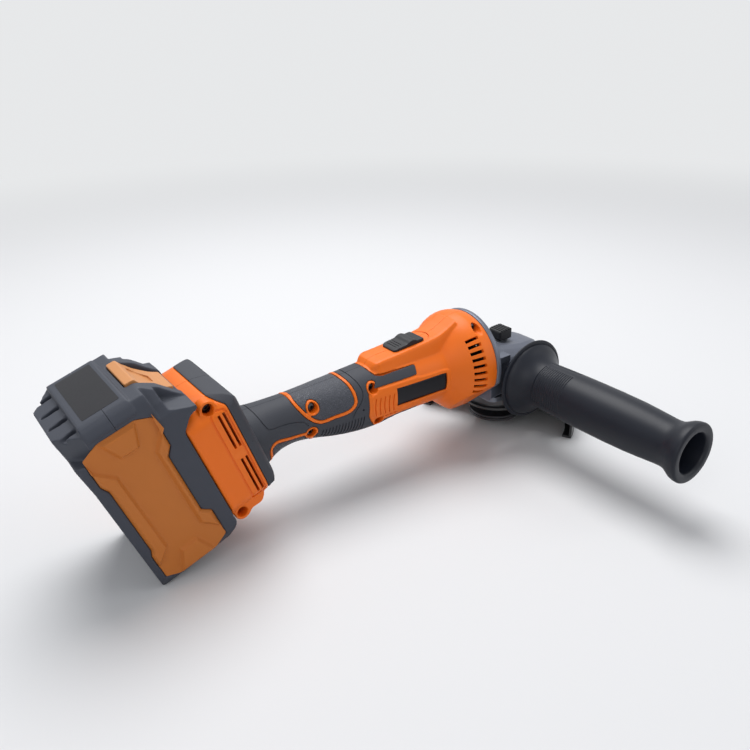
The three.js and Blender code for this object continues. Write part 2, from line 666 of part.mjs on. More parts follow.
function addShells() {
  const both = shells();
  piece("housing_right", cut(half(both, RIGHT), ...screwRecesses()), ORANGE);
  piece("housing_left", cut(half(both, LEFT), ...screwBores()), ORANGE);
  Object.entries(softGrips()).forEach(([name, body]) => {
    piece(`${name}_right`, half(body, RIGHT), SOFT_GREY);
    piece(`${name}_left`, half(body, LEFT), SOFT_GREY);
  });
}

function addShellScrews() {
  SHELL_SCREWS.forEach(([x, z, seat], i) => {
    const head = rod("y", SCREW_HEAD, -seat - 2.4, -seat - CLEAR, x, z, SMALL);
    const shank = rod("y", SCREW_SHANK, -seat - 1, SCREW_REACH, x, z, TINY);
    piece(`housing_screw_${i + 1}`, join(head, shank), STEEL);
  });
}

// ---------------------------------------------------------------- gear case
const CASE_REAR = BELL_FRONT + CLEAR;
const CASE_COLLAR = CASE_REAR + HEAD_FLANGE;
const NOSE_CENTRE = 12;

// One section of the gear case: flat underneath, upright sides and a bevelled crown.
function headSection(x, top, half) {
  const bevel = Math.min(14, half * 0.6);
  const right = [[half - 3, HEAD_BOTTOM], [half, HEAD_BOTTOM + 3], [half, top - bevel * 0.75],
    [half - bevel * 0.22, top - bevel * 0.46], [half - bevel * 0.64, top - bevel * 0.15], [half - bevel, top]];
  const left = right.map(([y, z]) => [-y, z]).reverse();
  return [...right, ...left].map(([y, z]) => new THREE.Vector3(x, y, z));
}

function headBlock() {
  const back = [[CASE_COLLAR - 1, 17, HEAD_HALF_WIDTH + 1.5], [CASE_COLLAR + 4, 15.2, HEAD_HALF_WIDTH + 1],
    [-24, 12.6, HEAD_HALF_WIDTH], [-12, 8.4, HEAD_HALF_WIDTH], [0, HEAD_TOP, HEAD_HALF_WIDTH]];
  const nose = [0, 18, 36, 54, 72].map((degrees) => {
    const angle = THREE.MathUtils.degToRad(degrees);
    const reach = NOSE_CENTRE + (HEAD_NOSE - NOSE_CENTRE) * Math.sin(angle) / Math.sin(1.257);
    return [reach, HEAD_TOP - 12 * (1 - Math.cos(angle)), HEAD_HALF_WIDTH * Math.cos(angle) ** 0.8];
  });
  return solid(ringLoft([...back, ...nose].map((entry) => headSection(...entry))));
}

function headCollar() {
  const rim = BELL_RIM + 0.5;
  const steps = [[CASE_REAR, rim - 0.6], [CASE_REAR + 1, rim], [CASE_COLLAR - 1.2, rim], [CASE_COLLAR, rim - 1.6]];
  const grown = steps.map(([x, radius]) => section([x, radius, -radius, radius, 2], 0));
  return solid(ringLoft(grown));
}

// Room for the ring gear, the pinion, both bearings and the bush.
function headCavity() {
  const gears = turned([[HEAD_BOTTOM - 5, 0], [HEAD_BOTTOM - 5, CAVITY_RADIUS], [CEILING - 2, CAVITY_RADIUS],
    [CEILING, CAVITY_RADIUS - 2], [CEILING, BUSH_RADIUS + CLEAR], [BUSH_TOP + CLEAR, BUSH_RADIUS + CLEAR],
    [BUSH_TOP + CLEAR, 0]], "z", ROUND);
  const pinion = turned([[-60, 0], [-60, PINION_ROOM], [-PITCH_RADIUS + 3, PINION_ROOM],
    [-PITCH_RADIUS + 7.5, PINION_ROOM - 2], [-PITCH_RADIUS + 7.5, 0]], "x", MIDDLE);
  return join(gears, pinion);
}

function bearingSeat() {
  return rod("x", FRONT_BEARING_RADIUS + CLEAR, CASE_REAR - 10, FRONT_BEARING_AT + FRONT_BEARING_WIDTH + CLEAR,
    0, 0, MIDDLE);
}

function gearCase() {
  const boss = rod("x", FRONT_BEARING_RADIUS + 2.8, CASE_REAR - 6.5, CASE_REAR + 1, 0, 0, MIDDLE);
  const profile = [[-HANDLE_BOSS, 0], [-HANDLE_BOSS, HANDLE_BOSS_RADIUS - 1],
    [-HANDLE_BOSS + 1, HANDLE_BOSS_RADIUS], [HANDLE_BOSS - 1, HANDLE_BOSS_RADIUS],
    [HANDLE_BOSS, HANDLE_BOSS_RADIUS - 1], [HANDLE_BOSS, 0]];
  const ears = solid(revolve(profile, "y", MIDDLE).translate(0, 0, HANDLE_AXIS_Z));
  const depth = HANDLE_BOSS - SOCKET_DEPTH;
  const sockets = [[-60, -depth], [depth, 60]].map(([from, to]) => (
    rod("y", STUD_RADIUS + CLEAR, from, to, 0, HANDLE_AXIS_Z, MIDDLE)));
  return { boss, ears: ears.subtract(box(-20, 20, -60, 60, -60, HEAD_BOTTOM)), sockets };
}

function lockPocket() {
  const front = LOCK_RADIUS + 3.6;
  const well = [[-5.5, -8], [-4, -9.5], [front - 1.5, -9.5], [front, -8], [front, 8], [front - 1.5, 9.5],
    [-4, 9.5], [-5.5, 8]];
  return prism(well, "xy", POCKET_FLOOR, 30);
}

function addGearCase() {
  const { boss, ears, sockets } = gearCase();
  const body = join(headBlock(), headCollar(), ears, boss);
  const screws = CASE_SCREWS.map(([y, z]) => rod("x", CASE_SCREW + CLEAR, -45, -20, y, z, TINY));
  const cover = RETAINER_SCREWS.map(([x, y]) => rod("z", RETAINER_SCREW + CLEAR / 2, -50, -22, x, y, TINY));
  const pinHole = rod("z", LOCK_PIN + CLEAR, -20, 20, LOCK_RADIUS, 0);
  const whole = cut(body, headCavity(), bearingSeat(), ...sockets, lockPocket(), pinHole, ...screws, ...cover);
  piece("gear_housing", whole, ALUMINIUM);
}

// Plate under the gear case: it holds the spindle's ball bearing and carries the guard's neck.
function addRetainer() {
  const top = HEAD_BOTTOM - CLEAR;
  const base = top - RETAINER_THICKNESS;
  const corner = HEAD_HALF_WIDTH - 1;
  const outline = [[-30.5, -corner + 4], [-26.5, -corner], [14, -corner], [23, -23], [31.5, -14], [34.5, -5],
    [34.5, 5], [31.5, 14], [23, 23], [14, corner], [-26.5, corner], [-30.5, corner - 4]];
  const plate = prism(outline, "xy", base, top);
  const neck = turned([[NECK_BOTTOM, 0], [NECK_BOTTOM, NECK_RADIUS - 0.8], [NECK_BOTTOM + 0.8, NECK_RADIUS],
    [base + 0.5, NECK_RADIUS], [base + 0.5, 0]], "z", ROUND);
  const cup = rod("z", CAVITY_RADIUS - CLEAR, top - 0.5, BEARING_TOP - 0.2, 0, 0, ROUND);
  const room = turned([[BEARING_TOP - BEARING_WIDTH - CLEAR, 0],
    [BEARING_TOP - BEARING_WIDTH - CLEAR, BEARING_RADIUS + CLEAR], [0, BEARING_RADIUS + CLEAR], [0, 0]]);
  const bore = rod("z", SHOULDER_RADIUS + RUN, -60, 0, 0, 0, MIDDLE);
  const screws = RETAINER_SCREWS.map(([x, y]) => rod("z", RETAINER_SCREW + CLEAR, -50, 0, x, y, TINY));
  const heads = RETAINER_SCREWS.map(([x, y]) => rod("z", RETAINER_SCREW + 2, base - 1, base + 2.2, x, y));
  piece("bearing_retainer", cut(join(plate, neck, cup), room, bore, ...screws, ...heads), ALUMINIUM);
  RETAINER_SCREWS.forEach(([x, y], i) => {
    const head = rod("z", RETAINER_SCREW + 1.6, base - 0.4, base + 1.9, x, y);
    const shank = rod("z", RETAINER_SCREW, base + 1, -23, x, y, TINY);
    piece(`retainer_screw_${i + 1}`, join(head, shank), BLACK_STEEL);
  });
}

function addCaseScrews() {
  CASE_SCREWS.forEach(([y, z], i) => {
    const head = rod("x", CASE_SCREW + 1.4, CASE_COLLAR + CLEAR, CASE_COLLAR + 3, y, z);
    const shank = rod("x", CASE_SCREW, BELL_FRONT - 12, CASE_COLLAR + 1, y, z, TINY);
    piece(`gear_screw_${i + 1}`, join(head, shank), STEEL);
  });
}

// ---------------------------------------------------------------- gears
// Straight bevel gears: every tooth runs towards the point where the two axes cross. Each gear
// is drawn about a vertical axis, below that point.
const ADDENDUM = 0.8 * TOOTH_MODULE;
const DEDENDUM = 1.15 * TOOTH_MODULE;
const TOOTH_ROOT = 0.95 * TOOTH_MODULE;
const TOOTH_TIP = 0.4 * TOOTH_MODULE;
const INNER_SHARE = 1 - FACE_WIDTH / Math.hypot(PITCH_RADIUS, PINION_PITCH);

// A point at some height above the pitch cone, as [radius, distance below the crossing point].
function conePoint(radius, drop, height) {
  const lean = Math.atan2(radius, drop);
  return [radius + height * Math.cos(lean), drop - height * Math.sin(lean)];
}

// Outline of all the teeth at the outer end of the gear, as points on the cone.
function toothRing(count, radius, drop, phase) {
  const low = conePoint(radius, drop, -DEDENDUM);
  const high = conePoint(radius, drop, ADDENDUM);
  return Array.from({ length: count }, (_, i) => {
    const middle = ((i + phase) * 2 * Math.PI) / count;
    const corners = [[low, -TOOTH_ROOT], [high, -TOOTH_TIP], [high, TOOTH_TIP], [low, TOOTH_ROOT]];
    return corners.map(([[r, below], side]) => {
      const angle = middle + side / r;
      return new THREE.Vector3(r * Math.cos(angle), r * Math.sin(angle), -below);
    });
  }).flat();
}

// The same directions on a plain circle.
function circleLike(ring, radius, z) {
  return ring.map(({ x, y }) => {
    const share = radius / Math.hypot(x, y);
    return new THREE.Vector3(x * share, y * share, z);
  });
}

function bevelGear(count, radius, drop, phase, top, bottom) {
  const outer = toothRing(count, radius, drop, phase);
  const inner = outer.map((point) => point.clone().multiplyScalar(INNER_SHARE));
  const [rootOuter, rootDrop] = conePoint(radius, drop, -DEDENDUM);
  const back = circleLike(outer, rootOuter - 0.4, Math.min(bottom, -rootDrop - 0.4));
  const front = circleLike(inner, rootOuter * INNER_SHARE - 0.5, top);
  return ringLoft([back, outer, inner, front]);
}

function ringGear() {
  const rim = bevelGear(RING_TEETH, PITCH_RADIUS, PINION_PITCH, RING_TEETH / 2 + 0.5, GEAR_FACE, GEAR_BACK);
  const hub = rod("z", HUB_RADIUS, HUB_BOTTOM, GEAR_BACK + 1, 0, 0, MIDDLE);
  const locks = [0, 90, 180, 270].map((degrees) => {
    const angle = THREE.MathUtils.degToRad(degrees);
    const [x, y] = [LOCK_RADIUS * Math.cos(angle), LOCK_RADIUS * Math.sin(angle)];
    return rod("z", LOCK_HOLE, GEAR_FACE - 4, 0, x, y);
  });
  const bore = rod("z", SPINDLE_SEAT + CLEAR, -40, 10, 0, 0, MIDDLE);
  return cut(join(solid(rim), hub), bore, ...locks);
}

function pinion() {
  const [, drop] = conePoint(PINION_PITCH, PITCH_RADIUS, -DEDENDUM);
  const inner = -drop * INNER_SHARE + 0.2;
  const teeth = bevelGear(PINION_TEETH, PINION_PITCH, PITCH_RADIUS, 0, inner, -drop - 0.6);
  const hub = rod("x", 5, -36, -drop, 0, 0, MIDDLE);
  const bore = rod("x", SHAFT_NOSE + CLEAR, -60, -drop - 0.6, 0, 0, MIDDLE);
  return cut(join(solid(teeth.rotateY(Math.PI / 2)), hub), bore);
}

// ---------------------------------------------------------------- spindle and motor
function addSpindle() {
  const end = -SPINDLE_DROP;
  const spindle = [[end, 0], [end, SPINDLE_THREAD - 1], [end + 1, SPINDLE_THREAD],
    [FLANGE_TOP, SPINDLE_THREAD], [FLANGE_TOP, SHOULDER_RADIUS], [SHOULDER_TOP + 18, SHOULDER_RADIUS],
    [SHOULDER_TOP + 18, SPINDLE_JOURNAL + 1.6], [BEARING_TOP - BEARING_WIDTH - CLEAR, SPINDLE_JOURNAL + 1.6],
    [BEARING_TOP - BEARING_WIDTH - CLEAR, SPINDLE_JOURNAL], [HUB_BOTTOM - CLEAR, SPINDLE_JOURNAL],
    [HUB_BOTTOM - CLEAR, SPINDLE_SEAT], [GEAR_FACE + 1, SPINDLE_SEAT], [GEAR_FACE + 1, SPINDLE_NOSE],
    [BUSH_TOP - 0.9, SPINDLE_NOSE], [BUSH_TOP - 0.3, SPINDLE_NOSE - 0.6], [BUSH_TOP - 0.3, 0]];
  piece("spindle", turned(spindle, "z", MIDDLE), STEEL);
  piece("ring_gear", ringGear(), STEEL);
  const bush = [[CEILING - 1.2, SPINDLE_NOSE + CLEAR], [CEILING - 1.2, BUSH_RADIUS], [BUSH_TOP, BUSH_RADIUS],
    [BUSH_TOP, SPINDLE_NOSE + CLEAR], [CEILING - 1.2, SPINDLE_NOSE + CLEAR]];
  piece("spindle_bush", turned(bush, "z", MIDDLE), metal(0xa9783a, 0.4));
  piece("spindle_bearing", bearing("z", BEARING_TOP - BEARING_WIDTH, BEARING_WIDTH, SPINDLE_JOURNAL,
    BEARING_RADIUS), STEEL);
}

// A shielded ball bearing: both races and the shields between them, as one ring.
function bearing(axis, from, width, shaft, radius) {
  const to = from + width;
  const inner = shaft + CLEAR;
  return turned([[from, inner], [from, radius], [to, radius], [to, inner], [from, inner]], axis, MIDDLE);
}

function addClamping() {
  const low = FLANGE_TOP - FLANGE_HEIGHT;
  const inner = [[low, SPINDLE_THREAD + CLEAR], [low, FLANGE_RADIUS], [low + 2.2, FLANGE_RADIUS],
    [FLANGE_TOP + 3, SHOULDER_RADIUS + 3], [FLANGE_TOP + 3, SHOULDER_RADIUS + CLEAR],
    [FLANGE_TOP - CLEAR, SHOULDER_RADIUS + CLEAR], [FLANGE_TOP - CLEAR, SPINDLE_THREAD + CLEAR],
    [low, SPINDLE_THREAD + CLEAR]];
  piece("inner_flange", turned(inner, "z", ROUND), STEEL);
  const top = low - CLEAR;
  const nut = [[top - NUT_HEIGHT, SPINDLE_THREAD + CLEAR], [top - NUT_HEIGHT, SHOULDER_RADIUS + 3],
    [top - 2.4, FLANGE_RADIUS - 1], [top - 2, FLANGE_RADIUS], [top, FLANGE_RADIUS],
    [top, SPINDLE_THREAD + CLEAR], [top - NUT_HEIGHT, SPINDLE_THREAD + CLEAR]];
  const holes = [0, 90, 180, 270].map((degrees) => {
    const angle = THREE.MathUtils.degToRad(degrees + 45);
    return rod("z", 2.3, top - NUT_HEIGHT - 1, top - 1, 15 * Math.cos(angle), 15 * Math.sin(angle), 8);
  });
  piece("lock_nut", cut(turned(nut, "z", ROUND), ...holes), BLACK_STEEL);
}

function addMotor() {
  const can = [[MOTOR_BACK, MOTOR_RADIUS - 8], [MOTOR_BACK, MOTOR_RADIUS], [MOTOR_FRONT, MOTOR_RADIUS],
    [MOTOR_FRONT, MOTOR_RADIUS - 8], [MOTOR_BACK, MOTOR_RADIUS - 8]];
  piece("motor_can", turned(can, "x", MIDDLE), metal(0x6f7276, 0.5));
  const capFront = MOTOR_BACK - CLEAR;
  const capBack = capFront - 8;
  const cap = [[capBack, SHAFT_RADIUS + RUN], [capBack, MOTOR_RADIUS - 3], [capBack + 2, MOTOR_RADIUS],
    [capFront, MOTOR_RADIUS], [capFront, REAR_BEARING_RADIUS + CLEAR],
    [capFront - REAR_BEARING_WIDTH, REAR_BEARING_RADIUS + CLEAR],
    [capFront - REAR_BEARING_WIDTH, SHAFT_RADIUS + RUN], [capBack, SHAFT_RADIUS + RUN]];
  piece("motor_end_cap", turned(cap, "x", MIDDLE), BLACK);
  piece("rear_bearing", bearing("x", capFront - REAR_BEARING_WIDTH + CLEAR, REAR_BEARING_WIDTH, SHAFT_RADIUS,
    REAR_BEARING_RADIUS), STEEL);
  piece("front_bearing", bearing("x", FRONT_BEARING_AT, FRONT_BEARING_WIDTH, SHAFT_RADIUS,
    FRONT_BEARING_RADIUS), STEEL);
  const noseEnd = -conePoint(PINION_PITCH, PITCH_RADIUS, -DEDENDUM)[1] - 0.6 - CLEAR;
  const core = MOTOR_RADIUS - 8 - 0.8;
  const rotor = [[capBack, 0], [capBack, SHAFT_RADIUS], [MOTOR_BACK + 2, SHAFT_RADIUS], [MOTOR_BACK + 2, 7],
    [MOTOR_BACK + 8, 7], [MOTOR_BACK + 8, core], [MOTOR_FRONT - 6, core], [MOTOR_FRONT - 6, SHAFT_RADIUS],
    [CASE_REAR, SHAFT_RADIUS], [CASE_REAR, SHAFT_NOSE], [noseEnd, SHAFT_NOSE], [noseEnd, 0]];
  piece("rotor", turned(rotor, "x", MIDDLE), COPPER);
  piece("pinion", pinion(), STEEL);
  const hub = [[FAN_BACK, SHAFT_RADIUS + CLEAR], [FAN_BACK, 8], [FAN_BACK + 1.6, 9], [FAN_BACK + 1.6, FAN_RADIUS],
    [FAN_BACK + 3, FAN_RADIUS], [FAN_BACK + 3, 9], [FAN_BACK + FAN_WIDTH, 8],
    [FAN_BACK + FAN_WIDTH, SHAFT_RADIUS + CLEAR], [FAN_BACK, SHAFT_RADIUS + CLEAR]];
  const blades = Array.from({ length: 9 }, (_, i) => {
    const blade = new THREE.BoxGeometry(FAN_WIDTH - 3, FAN_RADIUS - 8.5, 1.2);
    blade.translate(FAN_BACK + 2 + (FAN_WIDTH - 3) / 2, (FAN_RADIUS + 7.5) / 2, 0);
    return solid(blade.rotateX((i * 2 * Math.PI) / 9));
  });
  piece("cooling_fan", join(turned(hub, "x", MIDDLE), ...blades), BLACK);
  const edge = CASE_REAR - CLEAR;
  const hole = FRONT_BEARING_RADIUS + 2.8 + CLEAR;
  const baffle = [[edge - 2.6, hole], [edge - 2.6, FAN_RADIUS], [edge, FAN_RADIUS], [edge, hole],
    [edge - 2.6, hole]];
  piece("fan_baffle", turned(baffle, "x", MIDDLE), BLACK);
}

// ---------------------------------------------------------------- spindle lock
function addLock() {
  const rear = BUTTON_CENTRE - BUTTON_LENGTH / 2;
  const front = BUTTON_CENTRE + BUTTON_LENGTH / 2;
  const cap = prism([[rear, -BUTTON_HALF_WIDTH + 1.5], [rear + 1.5, -BUTTON_HALF_WIDTH],
    [front - 1.5, -BUTTON_HALF_WIDTH], [front, -BUTTON_HALF_WIDTH + 1.5], [front, BUTTON_HALF_WIDTH - 1.5],
    [front - 1.5, BUTTON_HALF_WIDTH], [rear + 1.5, BUTTON_HALF_WIDTH], [rear, BUTTON_HALF_WIDTH - 1.5]],
  "xy", BUTTON_SKIRT, BUTTON_TOP);
  const shoe = box(front - 3, LOCK_RADIUS + 3, -4, 4, BUTTON_SKIRT, BUTTON_SKIRT + 3.4);
  const well = rod("z", SPRING_RADIUS + 0.6, 0, BUTTON_TOP - 1.9, BUTTON_CENTRE - 1, 0, MIDDLE);
  const socket = rod("z", LOCK_PIN + CLEAR, 0, BUTTON_SKIRT + 2.2, LOCK_RADIUS, 0);
  piece("lock_button", cut(join(cap, shoe), well, socket), BLACK);
  const collar = rod("z", LOCK_PIN + 0.8, CEILING - 1.1, CEILING - CLEAR, LOCK_RADIUS, 0);
  piece("lock_pin", join(rod("z", LOCK_PIN, GEAR_FACE + 0.8, BUTTON_SKIRT + 1.9, LOCK_RADIUS, 0), collar), STEEL);
  const turns = 3.5;
  const low = POCKET_FLOOR + 0.3 + SPRING_WIRE;
  const high = BUTTON_TOP - 1.9 - 0.3 - SPRING_WIRE;
  const points = Array.from({ length: turns * 8 + 1 }, (_, i) => {
    const angle = (i / 8) * 2 * Math.PI;
    const rise = low + ((high - low) * i) / (turns * 8);
    return new THREE.Vector3(BUTTON_CENTRE - 1 + SPRING_RADIUS * Math.cos(angle) * 0.9,
      SPRING_RADIUS * Math.sin(angle) * 0.9, rise);
  });
  const wire = new THREE.Shape(Array.from({ length: 4 }, (_, i) => (
    new THREE.Vector2(SPRING_WIRE * Math.cos((i * Math.PI) / 2), SPRING_WIRE * Math.sin((i * Math.PI) / 2)))));
  const coil = new THREE.ExtrudeGeometry(wire, {
    steps: turns * 8, extrudePath: new THREE.CatmullRomCurve3(points), curveSegments: 1,
  });
  piece("lock_spring", solid(outwards(coil)), STEEL);
}

// ---------------------------------------------------------------- slide switch
function addSwitch() {
  const top = (x) => RUNWAY_HEIGHT + RUNWAY_RISE * (x - RUNWAY_REAR);
  const front = SWITCH_REAR + SWITCH_LENGTH;
  const low = (x) => top(x) + CLEAR;
  const side = [[SWITCH_REAR, low(SWITCH_REAR)], [front, low(front)], [front, low(front) + SWITCH_HEIGHT - 1.6],
    [front - 2, low(front - 2) + SWITCH_HEIGHT - 0.6], [front - 8, low(front - 8) + SWITCH_HEIGHT - 0.4],
    [front - 11, low(front - 11) + SWITCH_HEIGHT + 1.2], [front - 14, low(front - 14) + SWITCH_HEIGHT + 1.2],
    [front - 16.5, low(front - 16.5) + SWITCH_HEIGHT - 0.6], [SWITCH_REAR + 3, low(SWITCH_REAR + 3) + SWITCH_HEIGHT - 1],
    [SWITCH_REAR, low(SWITCH_REAR) + 1]];
  const plan = [[SWITCH_REAR, -SWITCH_HALF_WIDTH + 3], [SWITCH_REAR + 3, -SWITCH_HALF_WIDTH],
    [front - 2, -SWITCH_HALF_WIDTH], [front, -SWITCH_HALF_WIDTH + 2], [front, SWITCH_HALF_WIDTH - 2],
    [front - 2, SWITCH_HALF_WIDTH], [SWITCH_REAR + 3, SWITCH_HALF_WIDTH], [SWITCH_REAR, SWITCH_HALF_WIDTH - 3]];
  const plate = prism(side, "xz", -20, 20).intersect(prism(plan, "xy", 0, 60));
  const stemLow = ROD_TOP + CLEAR;
  const stem = box(SWITCH_STEM, SWITCH_STEM + STEM_LENGTH, -STEM_HALF_WIDTH, STEM_HALF_WIDTH, stemLow,
    low(SWITCH_STEM) + 1);
  piece("switch_slider", join(plate, stem), BLACK);
  const tail = SWITCH_UNIT_FRONT + RUN;
  const rodSide = [[tail, 6], [tail + 3, 6], [tail + 3, ROD_TOP - 4], [tail + 5, ROD_TOP - ROD_THICKNESS],
    [SWITCH_STEM + STEM_LENGTH + 3, ROD_TOP - ROD_THICKNESS], [SWITCH_STEM + STEM_LENGTH + 3, ROD_TOP],
    [tail + 2, ROD_TOP], [tail + 1.4, ROD_TOP - 3.2], [tail, ROD_TOP - 3.2]];
  piece("switch_rod", prism(rodSide, "xz", -2.4, 2.4), BLACK);
  piece("switch_unit", switchUnit(), BLACK);
}

function switchUnit() {
  const post = SHELL_SCREWS[3][1] + BOSS_RADIUS - 1.4;
  const low = post + CLEAR;
  const body = box(SWITCH_UNIT_FRONT - 22, SWITCH_UNIT_FRONT, -8, 8, low, 5.4);
  const lever = box(SWITCH_UNIT_FRONT - 4, SWITCH_UNIT_FRONT, -5, 5, 5, 9);
  const tabs = [-5, 0, 5].map((y) => box(SWITCH_UNIT_FRONT - 27, SWITCH_UNIT_FRONT - 21, y - 0.5, y + 0.5, -6, 2));
  return join(body, lever, ...tabs);
}

// ---------------------------------------------------------------- guard
const COLLAR_TOP = HEAD_BOTTOM - CLEAR - RETAINER_THICKNESS - 1.5;

// Everything on the closed side of a straight edge through the spindle axis.
function closedSide() {
  const start = THREE.MathUtils.degToRad(GUARD_START);
  return solid(new THREE.BoxGeometry(400, 200, 200).translate(0, 100, 0).rotateZ(start));
}

function addGuard() {
  const inner = NECK_RADIUS + CLEAR;
  const collar = inner + GUARD_SHEET;
  const floor = GUARD_TOP - GUARD_SHEET;
  const dish = [[GUARD_BOTTOM, GUARD_RADIUS - GUARD_LIP], [GUARD_BOTTOM, GUARD_RADIUS - 1],
    [GUARD_BOTTOM + 1, GUARD_RADIUS], [GUARD_TOP - 4, GUARD_RADIUS], [GUARD_TOP - 1.4, GUARD_RADIUS - 1.2],
    [GUARD_TOP, GUARD_RADIUS - 4], [GUARD_TOP, collar + 3], [GUARD_TOP + 1, collar], [COLLAR_TOP, collar],
    [COLLAR_TOP, inner], [floor, inner], [floor, GUARD_RADIUS - 4], [GUARD_TOP - 4, GUARD_RADIUS - GUARD_SHEET],
    [GUARD_BOTTOM + GUARD_SHEET, GUARD_RADIUS - GUARD_SHEET],
    [GUARD_BOTTOM + GUARD_SHEET, GUARD_RADIUS - GUARD_LIP], [GUARD_BOTTOM, GUARD_RADIUS - GUARD_LIP]];
  const whole = turned(dish, "z", GUARD_FACETS);
  const centre = rod("z", collar + 5, -100, 0, 0, 0, ROUND);
  piece("guard_shell", whole.intersect(join(closedSide(), centre)), metal(0x2a2b2d, 0.5));
  addClamp(collar);
}

function addClamp(collar) {
  const inside = collar + CLEAR;
  const outside = inside + 2;
  const low = GUARD_TOP + CLEAR + 1;
  const high = Math.min(low + CLAMP_HEIGHT, COLLAR_TOP - CLEAR);
  const band = turned([[low, inside], [low, outside], [high, outside], [high, inside], [low, inside]]);
  const turn = THREE.MathUtils.degToRad(CLAMP_AT);
  const slit = new THREE.BoxGeometry(30, 2.4, 40).translate(inside + 14.8, 0, low);
  const ears = new THREE.BoxGeometry(11, 9, high - low).translate(outside + 4.6, 0, (low + high) / 2);
  const reach = outside + 6;
  const middle = (low + high) / 2;
  const boreY = revolve([[-20, 0], [-20, 1.9 + CLEAR], [20, 1.9 + CLEAR], [20, 0]], "y", 8);
  const bore = solid(boreY.translate(reach, 0, middle).rotateZ(turn));
  const opened = join(band, solid(ears.rotateZ(turn))).subtract(solid(slit.rotateZ(turn)));
  piece("guard_clamp_band", opened.subtract(bore).subtract(rod("z", inside, -100, 0, 0, 0, ROUND)), STEEL);
  const screw = revolve([[-7.4, 0], [-7.4, 3.2], [-4.8, 3.2], [-4.8, 1.9], [6.5, 1.9], [6.5, 0]], "y", SMALL);
  piece("guard_clamp_screw", solid(screw.translate(reach, 0, middle).rotateZ(turn)), BLACK_STEEL);
}

// ---------------------------------------------------------------- side handle
function addSideHandle() {
  const seat = HANDLE_BOSS + CLEAR;
  const rim = SIDE_FLANGE_AT + 2.4;
  const profile = [[seat, 0], [seat, 10], [SIDE_FLANGE_AT, 12], [SIDE_FLANGE_AT + 0.6, 29], [rim - 0.6, 32],
    [rim, SIDE_FLANGE_RADIUS], [rim + 1.6, SIDE_FLANGE_RADIUS], [rim + 2.6, SIDE_FLANGE_RADIUS - 1.4],
    [50, 22], [56, SIDE_GRIP - 0.8], [72, SIDE_GRIP - 0.2], [104, SIDE_GRIP + 0.3], [141, SIDE_GRIP - 0.4],
    [166, SIDE_GRIP - 2.2], [173, SIDE_GRIP - 2.2], [178, SIDE_GRIP + 0.2], [185, SIDE_END_RADIUS],
    [SIDE_END, SIDE_END_RADIUS - 0.6], [SIDE_END, SIDE_HOLLOW + 0.6],
    [SIDE_END - SIDE_HOLLOW_DEPTH, SIDE_HOLLOW - 0.6], [SIDE_END - SIDE_HOLLOW_DEPTH, 0]];
  const grip = profile.map(([along, radius]) => [-along, radius]);
  const body = solid(revolve(grip, "y", ROUND).translate(0, 0, HANDLE_AXIS_Z));
  const studEnd = seat + 36;
  const bore = rod("y", STUD_RADIUS + CLEAR, -studEnd - CLEAR, 0, 0, HANDLE_AXIS_Z, MIDDLE);
  piece("side_handle_grip", body.subtract(bore), BLACK);
  const stud = rod("y", STUD_RADIUS, -studEnd, -(HANDLE_BOSS - SOCKET_DEPTH) - CLEAR, 0, HANDLE_AXIS_Z, MIDDLE);
  piece("side_handle_stud", stud, STEEL);
}

// ---------------------------------------------------------------- battery pack
// Side view of the pack, as X towards the foot and Z up.
const CHEEK_FRONT = FOOT_FACE - CLEAR;
const PACK_SIDE = [
  [PACK_BACK, PACK_TOP - 3], [PACK_BACK + 2.6, 28], [PACK_BACK + 3.3, PACK_BOTTOM + 5.7],
  [PACK_BACK + 7, PACK_BOTTOM + 3], [CHEEK_FRONT - 8, PACK_BOTTOM + 7], [CHEEK_FRONT - 2, PACK_BOTTOM + 11.5],
  [CHEEK_FRONT, PACK_BOTTOM + 15], [CHEEK_FRONT, 30.6], [CHEEK_FRONT + 13.4, 44.8], [CHEEK_FRONT + 8.8, 49.6],
  [CHEEK_FRONT + 1.7, 59], [CHEEK_FRONT - 8, PACK_TOP], [PACK_BACK + 15, PACK_TOP + 1.5],
];
const PACK_END = [
  [-PACK_HALF_WIDTH, 60], [-PACK_HALF_WIDTH, PACK_BOTTOM + 12], [-PACK_HALF_WIDTH + 3, PACK_BOTTOM + 5],
  [-PACK_HALF_WIDTH + 9, PACK_BOTTOM + 1], [PACK_HALF_WIDTH - 9, PACK_BOTTOM + 1],
  [PACK_HALF_WIDTH - 3, PACK_BOTTOM + 5], [PACK_HALF_WIDTH, PACK_BOTTOM + 12], [PACK_HALF_WIDTH, 60],
  [PACK_HALF_WIDTH - 2, 65], [PACK_HALF_WIDTH - 6, 69], [-PACK_HALF_WIDTH + 6, 69], [-PACK_HALF_WIDTH + 2, 65],
];
const PACK_PLAN = [
  [PACK_BACK + 6, -PACK_HALF_WIDTH], [60, -PACK_HALF_WIDTH], [60, PACK_HALF_WIDTH],
  [PACK_BACK + 6, PACK_HALF_WIDTH], [PACK_BACK + 1.6, PACK_HALF_WIDTH - 2], [PACK_BACK - 1, PACK_HALF_WIDTH - 8],
  [PACK_BACK - 1, -PACK_HALF_WIDTH + 8], [PACK_BACK + 1.6, -PACK_HALF_WIDTH + 2],
];
const PANEL = [
  [-PANEL_HALF_WIDTH, 50], [-PANEL_HALF_WIDTH, 30], [-PANEL_HALF_WIDTH + 2.6, 25], [-PANEL_HALF_WIDTH + 2.6, -25],
  [-PANEL_HALF_WIDTH, -30], [-PANEL_HALF_WIDTH, -PANEL_HALF_LENGTH], [-10, -57.6], [2, -58.7], [14, -57.8],
  [PANEL_HALF_WIDTH, -PANEL_HALF_LENGTH], [PANEL_HALF_WIDTH, -30], [PANEL_HALF_WIDTH - 4, -24],
  [PANEL_HALF_WIDTH - 4, 24], [PANEL_HALF_WIDTH, 30], [PANEL_HALF_WIDTH, 50], [14, 55], [-11, 56],
];

